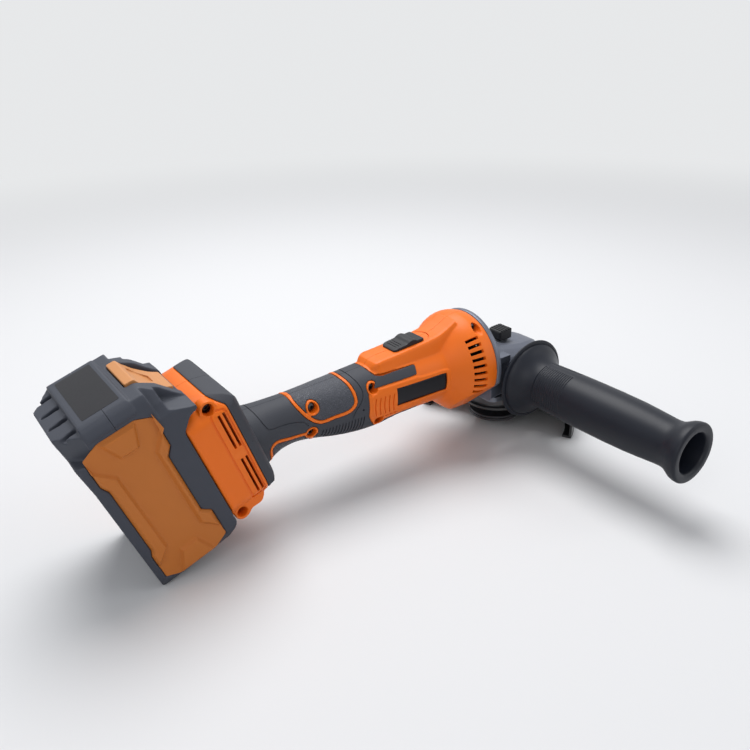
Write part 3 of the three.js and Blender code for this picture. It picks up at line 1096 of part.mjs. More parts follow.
// Shoulders narrow the pack where it rises over the foot. The pack's own solids are drawn
// upright, because the tilted group places them.
function shoulders(grow) {
  return [-1, 1].map((side) => {
    const wedge = [[PACK_HALF_WIDTH - 13, 90], [PACK_HALF_WIDTH - 13, 66], [PACK_HALF_WIDTH - 4, 55],
      [PACK_HALF_WIDTH + 1, 45], [PACK_HALF_WIDTH + 20, 45], [PACK_HALF_WIDTH + 20, 90]];
    const turnedWedge = offset(wedge, grow).map(([y, z]) => [side * y, z]);
    return prism(turnedWedge, "yz", FOOT_FACE - 9 - grow, 80);
  });
}

function packForm(grow) {
  const side = prism(offset(PACK_SIDE, grow), "xz", -80, 80);
  const end = prism(offset(PACK_END, grow), "yz", -60, 80);
  const plan = prism(offset(PACK_PLAN, grow), "xy", -90, 90);
  return cut(side.intersect(end).intersect(plan), ...shoulders(-grow));
}

function tongue() {
  const end = FOOT_FACE + TONGUE_DEPTH - 0.2;
  const neck = box(FOOT_FACE - 6, end, -TONGUE_NECK, TONGUE_NECK, TONGUE_BOTTOM, 33);
  const head = box(FOOT_FACE + TONGUE_DEPTH / 2, end, -TONGUE_HEAD, TONGUE_HEAD, TONGUE_BOTTOM, 36);
  const slots = [-BLADE_PITCH, 0, BLADE_PITCH].map((y) => (
    box(FOOT_FACE - 4, FOOT_FACE + 12, y - 1, y + 1, -60, TERMINAL_TOP + 2)));
  return cut(join(neck, head), ...slots);
}

const LATCH = [
  [19.5, PACK_TOP + 1.4], [25.5, PACK_TOP + 1.2], [27.5, 63.2], [32, 57], [39, 50.3], [44.4, 46.9], [43, 45],
  [38, 47.4], [30.5, 54.5], [26, 60], [23, 63], [19.5, 63.4],
];

// Pocket for the latch, deep enough for its travel; grown by a wall it is the tray round it.
function latchPocket(wall) {
  const drop = LATCH_TRAVEL + RUN;
  const floor = LATCH.slice(6, -1).map(([x, z]) => [x, z - drop]);
  const rear = LATCH[0][0] - RUN;
  const outline = [[rear, 90], [60, 90], [60, floor[0][1]], ...floor, [rear, LATCH[11][1] - drop]];
  const side = LATCH_HALF_WIDTH + RUN + wall;
  return prism(offset(outline, wall), "xz", -side, side);
}

const CELL_ROWS = [-CELL_PITCH / 2 + 0.5, CELL_PITCH / 2 + 0.5];
const CELL_HEIGHTS = [-2, -1, 0, 1, 2].map((i) => i * CELL_PITCH - 4);

// Ribs that hold the cells, front and back.
function cradle() {
  return [-24, 24].flatMap((y) => {
    const back = box(PACK_BACK + 1, CELL_ROWS[0] - CELL_RADIUS - CLEAR, y - 1, y + 1, -45, 38);
    const front = box(CELL_ROWS[1] + CELL_RADIUS + CLEAR, CHEEK_FRONT - 1, y - 1, y + 1, -40, 28);
    return [back, front];
  });
}

function addPack() {
  const outer = join(packForm(0), tongue());
  const bed = PACK_HALF_WIDTH - PANEL_DEPTH;
  const panels = [[-60, -bed], [bed, 60]].map(([from, to]) => prism(PANEL, "xz", from, to));
  const hollow = packForm(-PACK_WALL - PANEL_DEPTH).subtract(latchPocket(PACK_WALL));
  const walls = join(outer.subtract(hollow), ...cradle());
  const shell = cut(walls, latchPocket(0), ...panels, terminalRoom());
  const rear = shell.intersect(box(-90, SEAM_AT - HALF_GAP, -90, 90, -90, 90));
  const fore = shell.intersect(box(SEAM_AT + HALF_GAP, 90, -90, 90, -90, 90));
  piece("battery_case_back", rear, PACK_GREY, pack);
  piece("battery_case_front", fore, PACK_GREY, pack);
  addPanels();
  addLatch();
  addCells();
}

function addPanels() {
  const inner = PACK_HALF_WIDTH - PANEL_DEPTH + CLEAR;
  const outer = PACK_HALF_WIDTH + 0.4;
  const outline = offset(PANEL, -CLEAR);
  piece("battery_side_panel_right", prism(outline, "xz", -outer, -inner), PACK_ORANGE, pack);
  piece("battery_side_panel_left", prism(outline, "xz", inner, outer), PACK_ORANGE, pack);
}

function addLatch() {
  piece("battery_latch", prism(LATCH, "xz", -LATCH_HALF_WIDTH, LATCH_HALF_WIDTH), PACK_ORANGE, pack);
}

// Ten cells in two rows, joined by the strips across their ends.
function addCells() {
  const half = PACK_HALF_WIDTH - PANEL_DEPTH - PACK_WALL - CELL_ROOM;
  const cells = CELL_ROWS.flatMap((x) => CELL_HEIGHTS.map((z) => rod("y", CELL_RADIUS, -half, half, x, z)));
  const strips = [-half, half].map((y) => (
    box(CELL_ROWS[0] - 5, CELL_ROWS[1] + 5, y - 0.5, y + 0.5, CELL_HEIGHTS[0] - 5, CELL_HEIGHTS[4] + 5)));
  piece("cell_pack", join(...cells, ...strips), CELL_BLUE, pack);
}

// Contact block behind the slots of the tongue.
function terminalRoom() {
  const side = TERMINAL_HALF_WIDTH + CLEAR;
  return box(CELL_ROWS[1] + CELL_RADIUS + 1, FOOT_FACE - 1.5, -side, side, TONGUE_BOTTOM + 1, TERMINAL_TOP + 3);
}

function addTerminals() {
  const x0 = CELL_ROWS[1] + CELL_RADIUS + CLEAR + 1;
  const x1 = FOOT_FACE - 1.5 - CLEAR;
  const side = TERMINAL_HALF_WIDTH;
  const block = box(x0, x1, -side, side, TONGUE_BOTTOM + 1.4, TERMINAL_TOP + 2.6);
  piece("pack_terminals", block, COPPER, pack);
  const face = FOOT_FACE + TONGUE_DEPTH + RUN + CLEAR;
  const base = tiltedBox(face, face + 4.5, -side, side, TERMINAL_BOTTOM, TERMINAL_TOP);
  const blades = [-BLADE_PITCH, 0, BLADE_PITCH].map((y) => (
    tiltedBox(FOOT_FACE + 1, face + 1, y - 0.4, y + 0.4, TERMINAL_BOTTOM + 2, TERMINAL_TOP - 2)));
  piece("foot_terminal_block", join(base, ...blades), BLACK);
  const board = FOOT_FACE + TONGUE_DEPTH + RUN + WALL;
  const back = Math.max(face + 4.5, board) + CLEAR;
  piece("control_board", tiltedBox(back, back + BOARD_THICKNESS, -BOARD_HALF_WIDTH, BOARD_HALF_WIDTH,
    BOARD_BOTTOM, BOARD_TOP), GREEN);
}

// ---------------------------------------------------------------- assembly
addShells();
addShellScrews();
addGearCase();
addRetainer();
addCaseScrews();
addSpindle();
addClamping();
addMotor();
addLock();
addSwitch();
addGuard();
addSideHandle();
addPack();
addTerminals();

export default tool;
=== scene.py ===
import json
import math

import bmesh
import bpy
import numpy as np
from mathutils import Matrix, Vector


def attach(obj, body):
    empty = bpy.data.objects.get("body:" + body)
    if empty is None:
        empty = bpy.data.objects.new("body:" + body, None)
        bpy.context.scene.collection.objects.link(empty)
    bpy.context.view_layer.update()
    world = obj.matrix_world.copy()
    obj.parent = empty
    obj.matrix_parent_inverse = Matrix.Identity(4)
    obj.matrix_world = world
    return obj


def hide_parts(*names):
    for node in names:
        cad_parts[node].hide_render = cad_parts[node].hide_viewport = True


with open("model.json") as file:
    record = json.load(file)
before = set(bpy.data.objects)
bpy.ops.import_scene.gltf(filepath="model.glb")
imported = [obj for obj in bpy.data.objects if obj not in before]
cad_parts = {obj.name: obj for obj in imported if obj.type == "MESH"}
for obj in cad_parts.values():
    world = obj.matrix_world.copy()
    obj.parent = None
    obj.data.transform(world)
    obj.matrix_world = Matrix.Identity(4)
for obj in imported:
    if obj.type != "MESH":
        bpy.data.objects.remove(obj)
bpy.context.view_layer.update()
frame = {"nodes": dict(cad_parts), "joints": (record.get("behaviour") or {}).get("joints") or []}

# ---------------------------------------------------------------- Studio
# The tool stands on the rim of its guard and one lower corner of its pack, on a pale floor.
# One broad lamp hangs overhead and behind, and two weaker ones stand on the side of the camera
# and on that of the handle.
scene = bpy.context.scene
scene.view_settings.view_transform = "Standard"


def linked(name, data):
    """A new object in the scene."""
    made = bpy.data.objects.new(name, data)
    scene.collection.objects.link(made)
    return made


def plain_mesh(name, points, faces=()):
    mesh = bpy.data.meshes.new(name)
    mesh.from_pydata(points, [], faces)
    return mesh


CAMERA_PLACE = (-0.41627, -0.41133, 0.31829)
LOOK = Vector((0.5186, 0.7383, -0.4313)).normalized()
ACROSS = Vector((0.8120, -0.5830, -0.0210)).normalized()
ACROSS = (ACROSS - LOOK * ACROSS.dot(LOOK)).normalized()
camera = linked("camera", bpy.data.cameras.new("camera"))
camera.data.lens = 35.57
camera.data.sensor_width = 36
camera.matrix_world = (Matrix.Translation(CAMERA_PLACE)
                       @ Matrix((ACROSS, ACROSS.cross(LOOK), -LOOK)).transposed().to_4x4())
scene.camera = camera
TOOL_MIDDLE = Vector((-0.12, -0.03, 0.05))


def lamp(name, place, size, power):
    light = bpy.data.lights.new(name, "AREA")
    light.shape = "DISK"
    light.size = size
    light.energy = power
    holder = linked(name, light)
    holder.location = place
    holder.rotation_euler = (TOOL_MIDDLE - Vector(place)).to_track_quat("-Z", "Y").to_euler()


lamp("overhead lamp", (0.05, 0.45, 1.35), 1.1, 19)
lamp("camera side lamp", (-1.15, -0.75, 0.95), 0.9, 3.6)
lamp("handle side lamp", (0.9, -1.0, 0.8), 0.8, 3)


RIM_BAND = 0.0004


def lowest_point(node, side):
    """The lowest corner of a node's solid on the given side (-1 or 1) of the middle plane."""
    corners = [v.co for v in frame["nodes"][node].data.vertices]
    low = min(c.z for c in corners) + RIM_BAND
    return min((c for c in corners if c.z < low), key=lambda c: -side * c.y).copy()


REST_POINTS = [lowest_point("guard_shell", -1), lowest_point("guard_shell", 1),
               min((v.co.copy() for v in frame["nodes"]["battery_case_back"].data.vertices),
                   key=lambda c: c.z + 0.01 * c.y)]
rest_normal = (REST_POINTS[1] - REST_POINTS[0]).cross(REST_POINTS[2] - REST_POINTS[0]).normalized()
FLOOR_REACH = 9.0
FLOOR_GAP = 0.0002
floor_corners = []
for x, y in ((-1, -1), (1, -1), (1, 1), (-1, 1)):
    corner = Vector((x * FLOOR_REACH, y * FLOOR_REACH, 0))
    flat = corner - REST_POINTS[0]
    drop = (flat.x * rest_normal.x + flat.y * rest_normal.y) / rest_normal.z
    floor_corners.append((corner.x, corner.y, REST_POINTS[0].z - drop - FLOOR_GAP))
floor = linked("floor", plain_mesh("floor", floor_corners, [(0, 1, 2, 3)]))


def feed(tree, node, feeds):
    """Each input takes a value, or a link from another node's output."""
    for socket, value in feeds.items():
        if isinstance(value, bpy.types.NodeSocket):
            tree.links.new(value, node.inputs[socket])
        else:
            node.inputs[socket].default_value = value


def add(tree, kind, feeds=None, **settings):
    """A new node with its settings and what feeds it."""
    node = tree.nodes.new(kind)
    for label, value in settings.items():
        setattr(node, label, value)
    feed(tree, node, feeds or {})
    return node


def calc(tree, operation, *values):
    return add(tree, "ShaderNodeMath", dict(enumerate(values)), operation=operation).outputs[0]


def seen_rays(tree):
    """One for camera, glossy and transmission rays, and nought for rays that carry light."""
    ray = add(tree, "ShaderNodeLightPath").outputs
    return calc(tree, "MAXIMUM", calc(tree, "MAXIMUM", ray["Is Camera Ray"], ray["Is Glossy Ray"]),
                ray["Is Transmission Ray"])


PALE = (0.70, 0.70, 0.71, 1)
BACKDROP = (0.80, 0.81, 0.82, 1)
floor_material = bpy.data.materials.new("pale floor")
floor_material.use_nodes = True
paint = floor_material.node_tree
painted = paint.nodes["Principled BSDF"]
feed(paint, painted, {"Base Color": PALE, "Roughness": 0.75, "Specular IOR Level": 0.2})
place = add(paint, "ShaderNodeTexCoord").outputs["Object"]
reach = add(paint, "ShaderNodeVectorMath", {0: place}, operation="LENGTH")
far_share = add(paint, "ShaderNodeMapRange", {"Value": reach.outputs["Value"], "From Min": 0.45, "From Max": 1.6},
                interpolation_type="SMOOTHSTEP")
glow = add(paint, "ShaderNodeEmission", {"Color": BACKDROP})
blend = add(paint, "ShaderNodeMixShader", {
    "Fac": calc(paint, "MULTIPLY", far_share.outputs["Result"], seen_rays(paint)),
    1: painted.outputs[0], 2: glow.outputs[0]})
feed(paint, paint.nodes["Material Output"], {"Surface": blend.outputs[0]})
floor.data.materials.append(floor_material)

scene.world = bpy.data.worlds.new("world")
scene.world.use_nodes = True
sky = scene.world.node_tree
lit = sky.nodes["Background"]
feed(sky, lit, {"Color": (0.93, 0.96, 1.0, 1), "Strength": 0.44})
seen = add(sky, "ShaderNodeBackground", {"Color": BACKDROP, "Strength": 1.0})
choice = add(sky, "ShaderNodeMixShader", {"Fac": seen_rays(sky), 1: lit.outputs[0], 2: seen.outputs[0]})
feed(sky, sky.nodes["World Output"], {"Surface": choice.outputs[0]})

# ---------------------------------------------------------------- Motor housing
# Two half shells of orange glass-filled nylon, moulded with a fine spark grain and screwed
# together on the middle plane: bell, barrel, the core of the grip and the foot for the pack.
# Forms are drawn in millimetres from the point where motor and spindle axes cross.
joints = {joint["name"]: joint for joint in frame["joints"]}
CROSSING = joints["rotor_turn"]["pos_m"][2]
TO_METRES = Matrix.Translation((0, 0, CROSSING)) @ Matrix.Scale(0.001, 4)
slide_axis = joints["battery_slide"]["axis"]
TILT = math.atan2(-slide_axis[0], slide_axis[2])
PACK_MIDDLE = (-311.7, 0, -4.5)
UPRIGHT = Matrix.Translation(PACK_MIDDLE) @ Matrix.Rotation(-TILT, 4, "Y")
PLANES = {"xz": lambda a, b, c: (a, c, b), "yz": lambda a, b, c: (c, a, b), "xy": lambda a, b, c: (a, b, c)}


def form(points, faces, place=None):
    """A closed solid, in millimetres, with its faces turned outwards."""
    place = place or Matrix()
    mesh = plain_mesh("form", [place @ Vector(point) for point in points], faces)
    edit = bmesh.new()
    edit.from_mesh(mesh)
    bmesh.ops.remove_doubles(edit, verts=edit.verts, dist=1e-5)
    bmesh.ops.recalc_face_normals(edit, faces=edit.faces)
    edit.to_mesh(mesh)
    edit.free()
    return linked("form", mesh)


def loft(rings, place=None):
    """Rings of equal count joined one to the next, with flat ends."""
    count = len(rings[0])
    points = [point for ring in rings for point in ring]
    faces = [tuple(range(count)), tuple(range(len(points) - count, len(points)))]
    for i in range(len(rings) - 1):
        for j in range(count):
            k = (j + 1) % count
            here, there = i * count, (i + 1) * count
            faces.append((here + j, here + k, there + k, there + j))
    return form(points, faces, place)


def prism(outline, plane, low, high, place=None):
    at = PLANES[plane]
    return loft([[at(a, b, level) for a, b in outline] for level in (low, high)], place)


def oblong(a0, a1, b0, b1):
    return [(a0, b0), (a1, b0), (a1, b1), (a0, b1)]


def block(x0, x1, y0, y1, z0, z1, place=None):
    return prism(oblong(x0, x1, y0, y1), "xy", z0, z1, place)


def mirrored(half, by=0):
    """An outline from its first half, the rest mirrored in one coordinate."""
    return half + [(-a, b) if by == 0 else (a, -b) for a, b in reversed(half)]


def beside(side, near, far):
    """The two ends of a stretch on one side of the middle plane, the lower one first."""
    return sorted((side * near, side * far))


def lathe(profile, axis="z", centre=(0, 0), count=96, closed=False, shape=None, place=None):
    """[along, radius] points turned about an axis; shape may change a radius by place and angle."""
    turn = {"x": lambda a, u, v: (a, u + centre[0], v + centre[1]),
            "y": lambda a, u, v: (u + centre[0], a, v + centre[1]),
            "z": lambda a, u, v: (u + centre[0], v + centre[1], a)}[axis]
    points, rows, faces = [], [], []
    for along, radius in profile:
        first = len(points)
        if radius == 0:
            points.append(turn(along, 0, 0))
            rows.append([first])
            continue
        for j in range(count):
            angle = 2 * math.pi * j / count
            reach = shape(along, angle, radius) if shape else radius
            points.append(turn(along, reach * math.cos(angle), reach * math.sin(angle)))
        rows.append(list(range(first, first + count)))
    for low, high in zip(rows, rows[1:] + rows[:1] if closed else rows[1:]):
        for j in range(count):
            k = j + 1
            corners = [low[j % len(low)], low[k % len(low)], high[k % len(high)], high[j % len(high)]]
            face = tuple(dict.fromkeys(corners))
            if len(face) > 2:
                faces.append(face)
    return form(points, faces, place)


def rod(axis, radius, low, high, centre=(0, 0), count=32, place=None):
    return lathe([(low, 0), (low, radius), (high, radius), (high, 0)], axis, centre, count, place=place)


def settle(piece):
    """The piece's modifiers worked into its mesh."""
    graph = bpy.context.evaluated_depsgraph_get()
    mesh = bpy.data.meshes.new_from_object(piece.evaluated_get(graph))
    piece.modifiers.clear()
    piece.data = mesh
    return piece


def combined(base, operation, others):
    for other in others:
        step = base.modifiers.new(operation, "BOOLEAN")
        step.operation = operation
        step.solver = "MANIFOLD"
        step.object = other
    settle(base)
    for other in others:
        bpy.data.objects.remove(other)
    return base


def cut(base, *tools):
    return combined(base, "DIFFERENCE", tools)


def joined(base, *others):
    return combined(base, "UNION", others)


def overlap(base, *others):
    return combined(base, "INTERSECT", others)


def twin(piece):
    return linked(piece.name, piece.data.copy())


def swung(piece, degrees, axis):
    piece.data.transform(Matrix.Rotation(math.radians(degrees), 4, axis))
    return piece


def moulded(piece, voxel, soften, limit):
    """Edges rounded as a mould leaves them, with no more triangles than the limit."""
    remesh = piece.modifiers.new("remesh", "REMESH")
    remesh.mode = "VOXEL"
    remesh.voxel_size = voxel
    smooth = piece.modifiers.new("smooth", "SMOOTH")
    smooth.iterations = soften
    settle(piece)
    found = sum(len(face.vertices) - 2 for face in piece.data.polygons)
    if found > limit:
        thin = piece.modifiers.new("thin", "DECIMATE")
        thin.ratio = limit / found
        settle(piece)
    return piece


CORNER_STEPS, CURVE_STEPS = 4, 5


def eased(outline, radius):
    """A closed outline with its corners rounded."""
    result = []
    count = len(outline)
    for i in range(count):
        corner = Vector(outline[i])
        back = Vector(outline[i - 1]) - corner
        on = Vector(outline[(i + 1) % count]) - corner
        reach = min(radius, back.length * 0.45, on.length * 0.45)
        start, end = corner + back.normalized() * reach, corner + on.normalized() * reach
        for step in range(CORNER_STEPS + 1):
            t = step / CORNER_STEPS
            result.append(tuple(start * (1 - t) ** 2 + corner * 2 * t * (1 - t) + end * t ** 2))
    return result


def offset(outline, distance):
    """Every edge of an outline moved sideways, outwards where the distance is positive."""
    area = sum(a[0] * b[1] - b[0] * a[1] for a, b in zip(outline, outline[1:] + outline[:1]))
    side = math.copysign(distance, area * distance) if distance else 0
    result = []
    for i, point in enumerate(outline):
        before, here, after = Vector(outline[i - 1]), Vector(point), Vector(outline[(i + 1) % len(outline)])
        one = Vector((here.y - before.y, before.x - here.x)).normalized()
        two = Vector((after.y - here.y, here.x - after.x)).normalized()
        middle = (one + two).normalized()
        result.append(tuple(here + middle * side / max(0.3, middle.dot(one))))
    return result


def ribbon(path, width):
    """The outline of a line of some width along a path."""
    left, right = [], []
    for i, point in enumerate(path):
        before, after = Vector(path[max(0, i - 1)]), Vector(path[min(len(path) - 1, i + 1)])
        across = Vector((before.y - after.y, after.x - before.x)).normalized() * width / 2
        left.append(tuple(Vector(point) + across))
        right.append(tuple(Vector(point) - across))
    return left + right[::-1]


def curve_through(path):
    """Points along a smooth curve through the given ones."""
    ends = [path[0], *path, path[-1]]
    result = []
    for i in range(1, len(ends) - 2):
        a, b, c, d = (Vector(ends[i + k]) for k in (-1, 0, 1, 2))
        for step in range(CURVE_STEPS):
            t = step / CURVE_STEPS
            result.append(tuple(0.5 * (2 * b + (c - a) * t + (2 * a - 5 * b + 4 * c - d) * t ** 2
                                       + (3 * b - a - 3 * c + d) * t ** 3)))
    return result + [tuple(path[-1])]


# Sections along the motor axis: place, top, bottom, half width, squareness.
STATIONS = np.array([
    (-246, 16.3, -36, 25, 2.4), (-236, 16.3, -31, 23, 2.3), (-229, 16.3, -27, 20.5, 2.3),
    (-222, 16.5, -22.5, 18.3, 2.3), (-214, 16.7, -19.3, 17.2, 2.3), (-205, 16.9, -18.2, 16.9, 2.3),
    (-196, 17.4, -18.9, 17.3, 2.3), (-187, 18, -20.6, 18, 2.3), (-174, 18.8, -23.6, 19.6, 2.3),
    (-160, 19.7, -25.8, 21, 2.3), (-145, 20.8, -26.9, 22, 2.3), (-135, 21.6, -26.6, 22.6, 2.3),
    (-126, 22.5, -25.6, 23.2, 2.2), (-114, 23.2, -24.2, 23.8, 2.2), (-97, 23.8, -24.2, 24.2, 2.1),
    (-84, 24, -24.1, 24.3, 2.1), (-76, 25.5, -25.2, 25.5, 2), (-72, 28.8, -28.8, 28.8, 2),
    (-66, 33.8, -33.8, 33.8, 2), (-61, 37.7, -37.7, 37.7, 2), (-57.5, 39.7, -39.7, 39.7, 2),
    (-53, 41.3, -41.3, 41.3, 2), (-49, 42, -42, 42, 2), (-44, 41.6, -41.6, 41.6, 2), (-39.5, 40.3, -40.3, 40.3, 2)])
BELL_FLAT = 34
FLAT_LEAN = math.radians(48)
AROUND = 96
SECTION_STEP = 2.0


def station_at(x):
    """A section's numbers at any place, on a smooth curve that never overshoots."""
    at, values = STATIONS[:, 0], STATIONS[:, 1:]
    slopes = np.diff(values, axis=0) / np.diff(at)[:, None]
    bends = np.zeros_like(values)
    both = slopes[:-1] * slopes[1:]
    bends[1:-1] = np.where(both > 0, 2 * both / (slopes[:-1] + slopes[1:] + 1e-12), 0)
    i = int(np.clip(np.searchsorted(at, x) - 1, 0, len(at) - 2))
    span = at[i + 1] - at[i]
    t = (x - at[i]) / span
    return (values[i] * (2 * t ** 3 - 3 * t ** 2 + 1) + bends[i] * span * (t ** 3 - 2 * t ** 2 + t)
            + values[i + 1] * (3 * t ** 2 - 2 * t ** 3) + bends[i + 1] * span * (t ** 3 - t ** 2))


def ring_at(x, middle, flat, reach_at):
    """One section round the motor axis; the two lower flats cut the round ones."""
    ring = []
    for j in range(AROUND):
        angle = 2 * math.pi * (j + 0.5) / AROUND
        c, s = math.cos(angle), math.sin(angle)
        reach = reach_at(c, s)
        lean = abs(c) * math.cos(FLAT_LEAN) - s * math.sin(FLAT_LEAN)
        if lean > 0:
            reach = min(reach, flat / lean)
        ring.append((x, reach * c, middle + reach * s))
    return ring


def section(x, grow):
    top, bottom, half, square = station_at(x)
    tall, wide = (top - bottom) / 2 + grow, half + grow
    return ring_at(x, (top + bottom) / 2, BELL_FLAT + grow,
                   lambda c, s: (abs(c / wide) ** square + abs(s / tall) ** square) ** (-1 / square))


BELL_FRONT = -39.5
FOOT_SIDE = [(33, -48.5), (44, -50), (54, -47), (65, -42), (69.3, -39), (71, -34), (71, 26), (69.3, 31),
             (66, 34.2), (60, 36.4), (53, 38.2), (40.6, 38.4), (33, 30.5)]
FOOT_END = mirrored([(-20, 38.4), (-27, 36.8), (-33, 33.2), (-38, 28), (-38, -38), (-29, -50)])
FOOT_LUG = (51.3, 33.0, 6.0)
FOOT_PLAN = mirrored([(33, -38), (63, -38), (68, -35.5), (71, -30)], by=1)


def foot_form(grow):
    side = prism(eased(offset(FOOT_SIDE, grow), 3), "xz", -60, 60, UPRIGHT)
    end = prism(eased(offset(FOOT_END, grow), 3), "yz", 0, 95, UPRIGHT)
    plan = prism(eased(offset(FOOT_PLAN, grow), 3), "xy", -80, 80, UPRIGHT)
    return overlap(side, end, plan)


def body_form(grow, start=STATIONS[0, 0], end=BELL_FRONT):
    places = np.linspace(start, end, max(4, int((end - start) / SECTION_STEP)))
    return loft([section(x, grow) for x in places])


def foot_lugs(grow):
    """The ears round the foot's screws: one high beside the screw's head, and two low."""
    w, h, radius = FOOT_LUG
    high = [(w - radius - 1.5, h - 9), (w - radius, h + 0.5), (w - radius * 0.7, h + radius * 0.7), (w, h + radius),
            (w + radius * 0.7, h + radius * 0.7), (w + radius, h), (w + radius - 0.6, h - 9)]
    low = [(33.8, -40), (33.8, -50.5), (36.2, -53.6), (40.0, -54.4), (43.3, -53.2), (45.6, -50.8), (54.2, -51.0),
           (57.6, -47.0), (59.6, -40)]
    lugs = ((high, -1, 26.5, 34.6), (low, -1, 20, 33.4), (low, 1, 20, 33.4))
    return joined(*[prism(eased(offset(line, grow), 2), "xz", *beside(side, inner - grow, outer + grow), UPRIGHT)
                    for line, side, inner, outer in lugs])


def outer_form(grow):
    return joined(body_form(grow), foot_form(grow))


# The raised saddle under the slide switch, blending into the back of the bell.
SADDLE_TOPS = [(-138, 18), (-136.5, 22.5), (-134, 25), (-129, 26.3), (-120, 27), (-100, 29), (-85, 30.5),
               (-74, 32.6), (-66, 36), (-58, 40.3)]


def saddle(grow):
    places = np.linspace(-138, -58, 64)
    tops = np.interp(places, *zip(*SADDLE_TOPS))
    rings = []
    for x, top in zip(places, tops):
        close = max(0, (-132 - x) / 6)
        narrow, wide, crown = 12.2 - 3 * close + grow, 15.3 - 2.2 * close + grow, top + grow
        half = [(wide + 1.2, 8), (wide + 0.6, 15.8), (narrow + 0.35 * (wide - narrow), crown - 4.2),
                (narrow + 0.2, crown - 1.5), (narrow - 0.7, crown - 0.4), (narrow - 2.4, crown)]
        rings.append([(x, y, z) for y, z in mirrored(half)])
    return loft(rings)


# Outlines drawn on the side view: the lines round the palm and heel pads, the edge of the soft
# grip, and the screw bosses that stand in it.
PALM_LINE = curve_through([(-199, 34), (-201, 20), (-203, 16), (-201.4, 11.5), (-195.8, 3.8), (-187, -2.3),
                           (-176, -1.5), (-165, -0.4), (-159.5, 3.1), (-158, 8), (-159.2, 16.5), (-162, 22),
                           (-167, 34)])
HEEL_LINE = curve_through([(-190, -40), (-191, -24), (-192.6, -12.5), (-194.5, -9.6), (-199.5, -8.7),
                           (-211.4, -7.7), (-222.5, -5.9), (-227.6, -9), (-226.5, -16), (-224, -26), (-220, -40)])
GRIP_EDGE = [(-290, 70), (-139.5, 70), (-139.2, 20.5), (-136.8, 17.6), (-103.2, 18), (-104.6, 12.6),
             (-137.5, 11.2), (-141, 13), (-147.3, 7), (-147.8, -10), (-144.5, -16.4), (-139, -17.6),
             (-101, -16.6), (-99, -19), (-98, -60), (-290, -60)]
FOOT_EDGE = [(53.0, 90), (53.0, 39.5), (57.6, 34.2), (61.7, 30), (61.5, -90), (95, -90), (95, 90)]
BEAD = 2.3
BEAD_RISE = 0.3
BOSS_RING = 4.9
BOSSES = [(-191.4, 9.1, 11.0), (-193.8, -9.3, 11.0), (-142.7, 10.6, 13.0), (-138.4, -16.3, 12.0)]
for w, h, seat in ((FOOT_LUG[0], FOOT_LUG[1], 28.0), (39.3, -48.6, 24.0)):
    on_body = UPRIGHT @ Vector((w, 0, h))
    BOSSES.append((on_body.x, on_body.z, seat))
BELL_SCREW = (-47.0, 34.0, 16.0)
# Wider than the housing on either side.
BEYOND = 70


def across(outline, place=None):
    return prism(outline, "xz", -BEYOND, BEYOND, place)


def grip_zone(grow):
    handle = overlap(across(offset(GRIP_EDGE, grow)), block(-238, 0, -80, 80, -80, 80))
    foot = cut(across(offset(FOOT_EDGE, grow), place=UPRIGHT), block(-238, 0, -80, 80, -80, 80))
    return joined(handle, foot)


def line_forms(grow):
    lines = joined(across(ribbon(PALM_LINE, BEAD + 2 * grow)), across(ribbon(HEEL_LINE, BEAD + 2 * grow)))
    rings = [rod("y", BOSS_RING + grow, -BEYOND, BEYOND, (x, z), 40) for x, z, _ in BOSSES]
    return joined(lines, *rings)


def node_group(name, kind, inputs, outputs):
    """A new node group with named inputs and outputs, and the sockets inside that stand for them."""
    tree = bpy.data.node_groups.new(name, kind)
    for label, socket, *value in inputs:
        made = tree.interface.new_socket(label, in_out="INPUT", socket_type=f"NodeSocket{socket}")
        if value:
            made.default_value = value[0]
    for label, socket in outputs:
        tree.interface.new_socket(label, in_out="OUTPUT", socket_type=f"NodeSocket{socket}")
    return tree, tree.nodes.new("NodeGroupInput").outputs, tree.nodes.new("NodeGroupOutput")


def instanced(tree, given, result, feeds):
    """Instances on points, made real and given the finish."""
    placed = add(tree, "GeometryNodeInstanceOnPoints", feeds)
    real = add(tree, "GeometryNodeRealizeInstances", {0: placed.outputs[0]})
    painted = add(tree, "GeometryNodeSetMaterial", {"Geometry": real.outputs[0], "Material": given["Finish"]})
    feed(tree, result, {0: painted.outputs[0]})
    return tree


def worked(piece, tree, values):
    """A geometry group run on a piece, its inputs set by name."""
    step = piece.modifiers.new("nodes", "NODES")
    step.node_group = tree
    for socket in tree.interface.items_tree:
        if socket.in_out == "INPUT" and socket.name in values:
            step[socket.identifier] = values[socket.name]
    return settle(piece)


def repeat_group():
    tree, given, result = node_group("Repeat along a line or an arc", "GeometryNodeTree", (
        ("Geometry", "Geometry"), ("Count", "Int"), ("Step", "Vector"), ("Turn", "Vector"), ("Finish", "Material")),
        (("Geometry", "Geometry"),))
    line = add(tree, "GeometryNodeMeshLine", {"Count": given["Count"], "Offset": given["Step"]})
    index = add(tree, "GeometryNodeInputIndex").outputs[0]
    turned = add(tree, "ShaderNodeVectorMath", {0: given["Turn"]}, operation="SCALE")
    feed(tree, turned, {"Scale": index})
    rotation = add(tree, "FunctionNodeEulerToRotation", {0: turned.outputs[0]})
    return instanced(tree, given, result, {"Points": line.outputs[0], "Instance": given["Geometry"],
                                           "Rotation": rotation.outputs[0]})


REPEAT = repeat_group()


def repeated(element, count, step=(0, 0, 0), turn=(0, 0, 0)):
    """One solid repeated along a line, or round an axis through the origin."""
    return worked(element, REPEAT, {"Count": count, "Step": step, "Turn": turn})


VENT_COUNT = 9
VENT_PITCH = math.radians(7.8)
# Degrees round the motor axis at which the outlets of each flank begin.
VENT_FIRST = (133.5, -15.9)


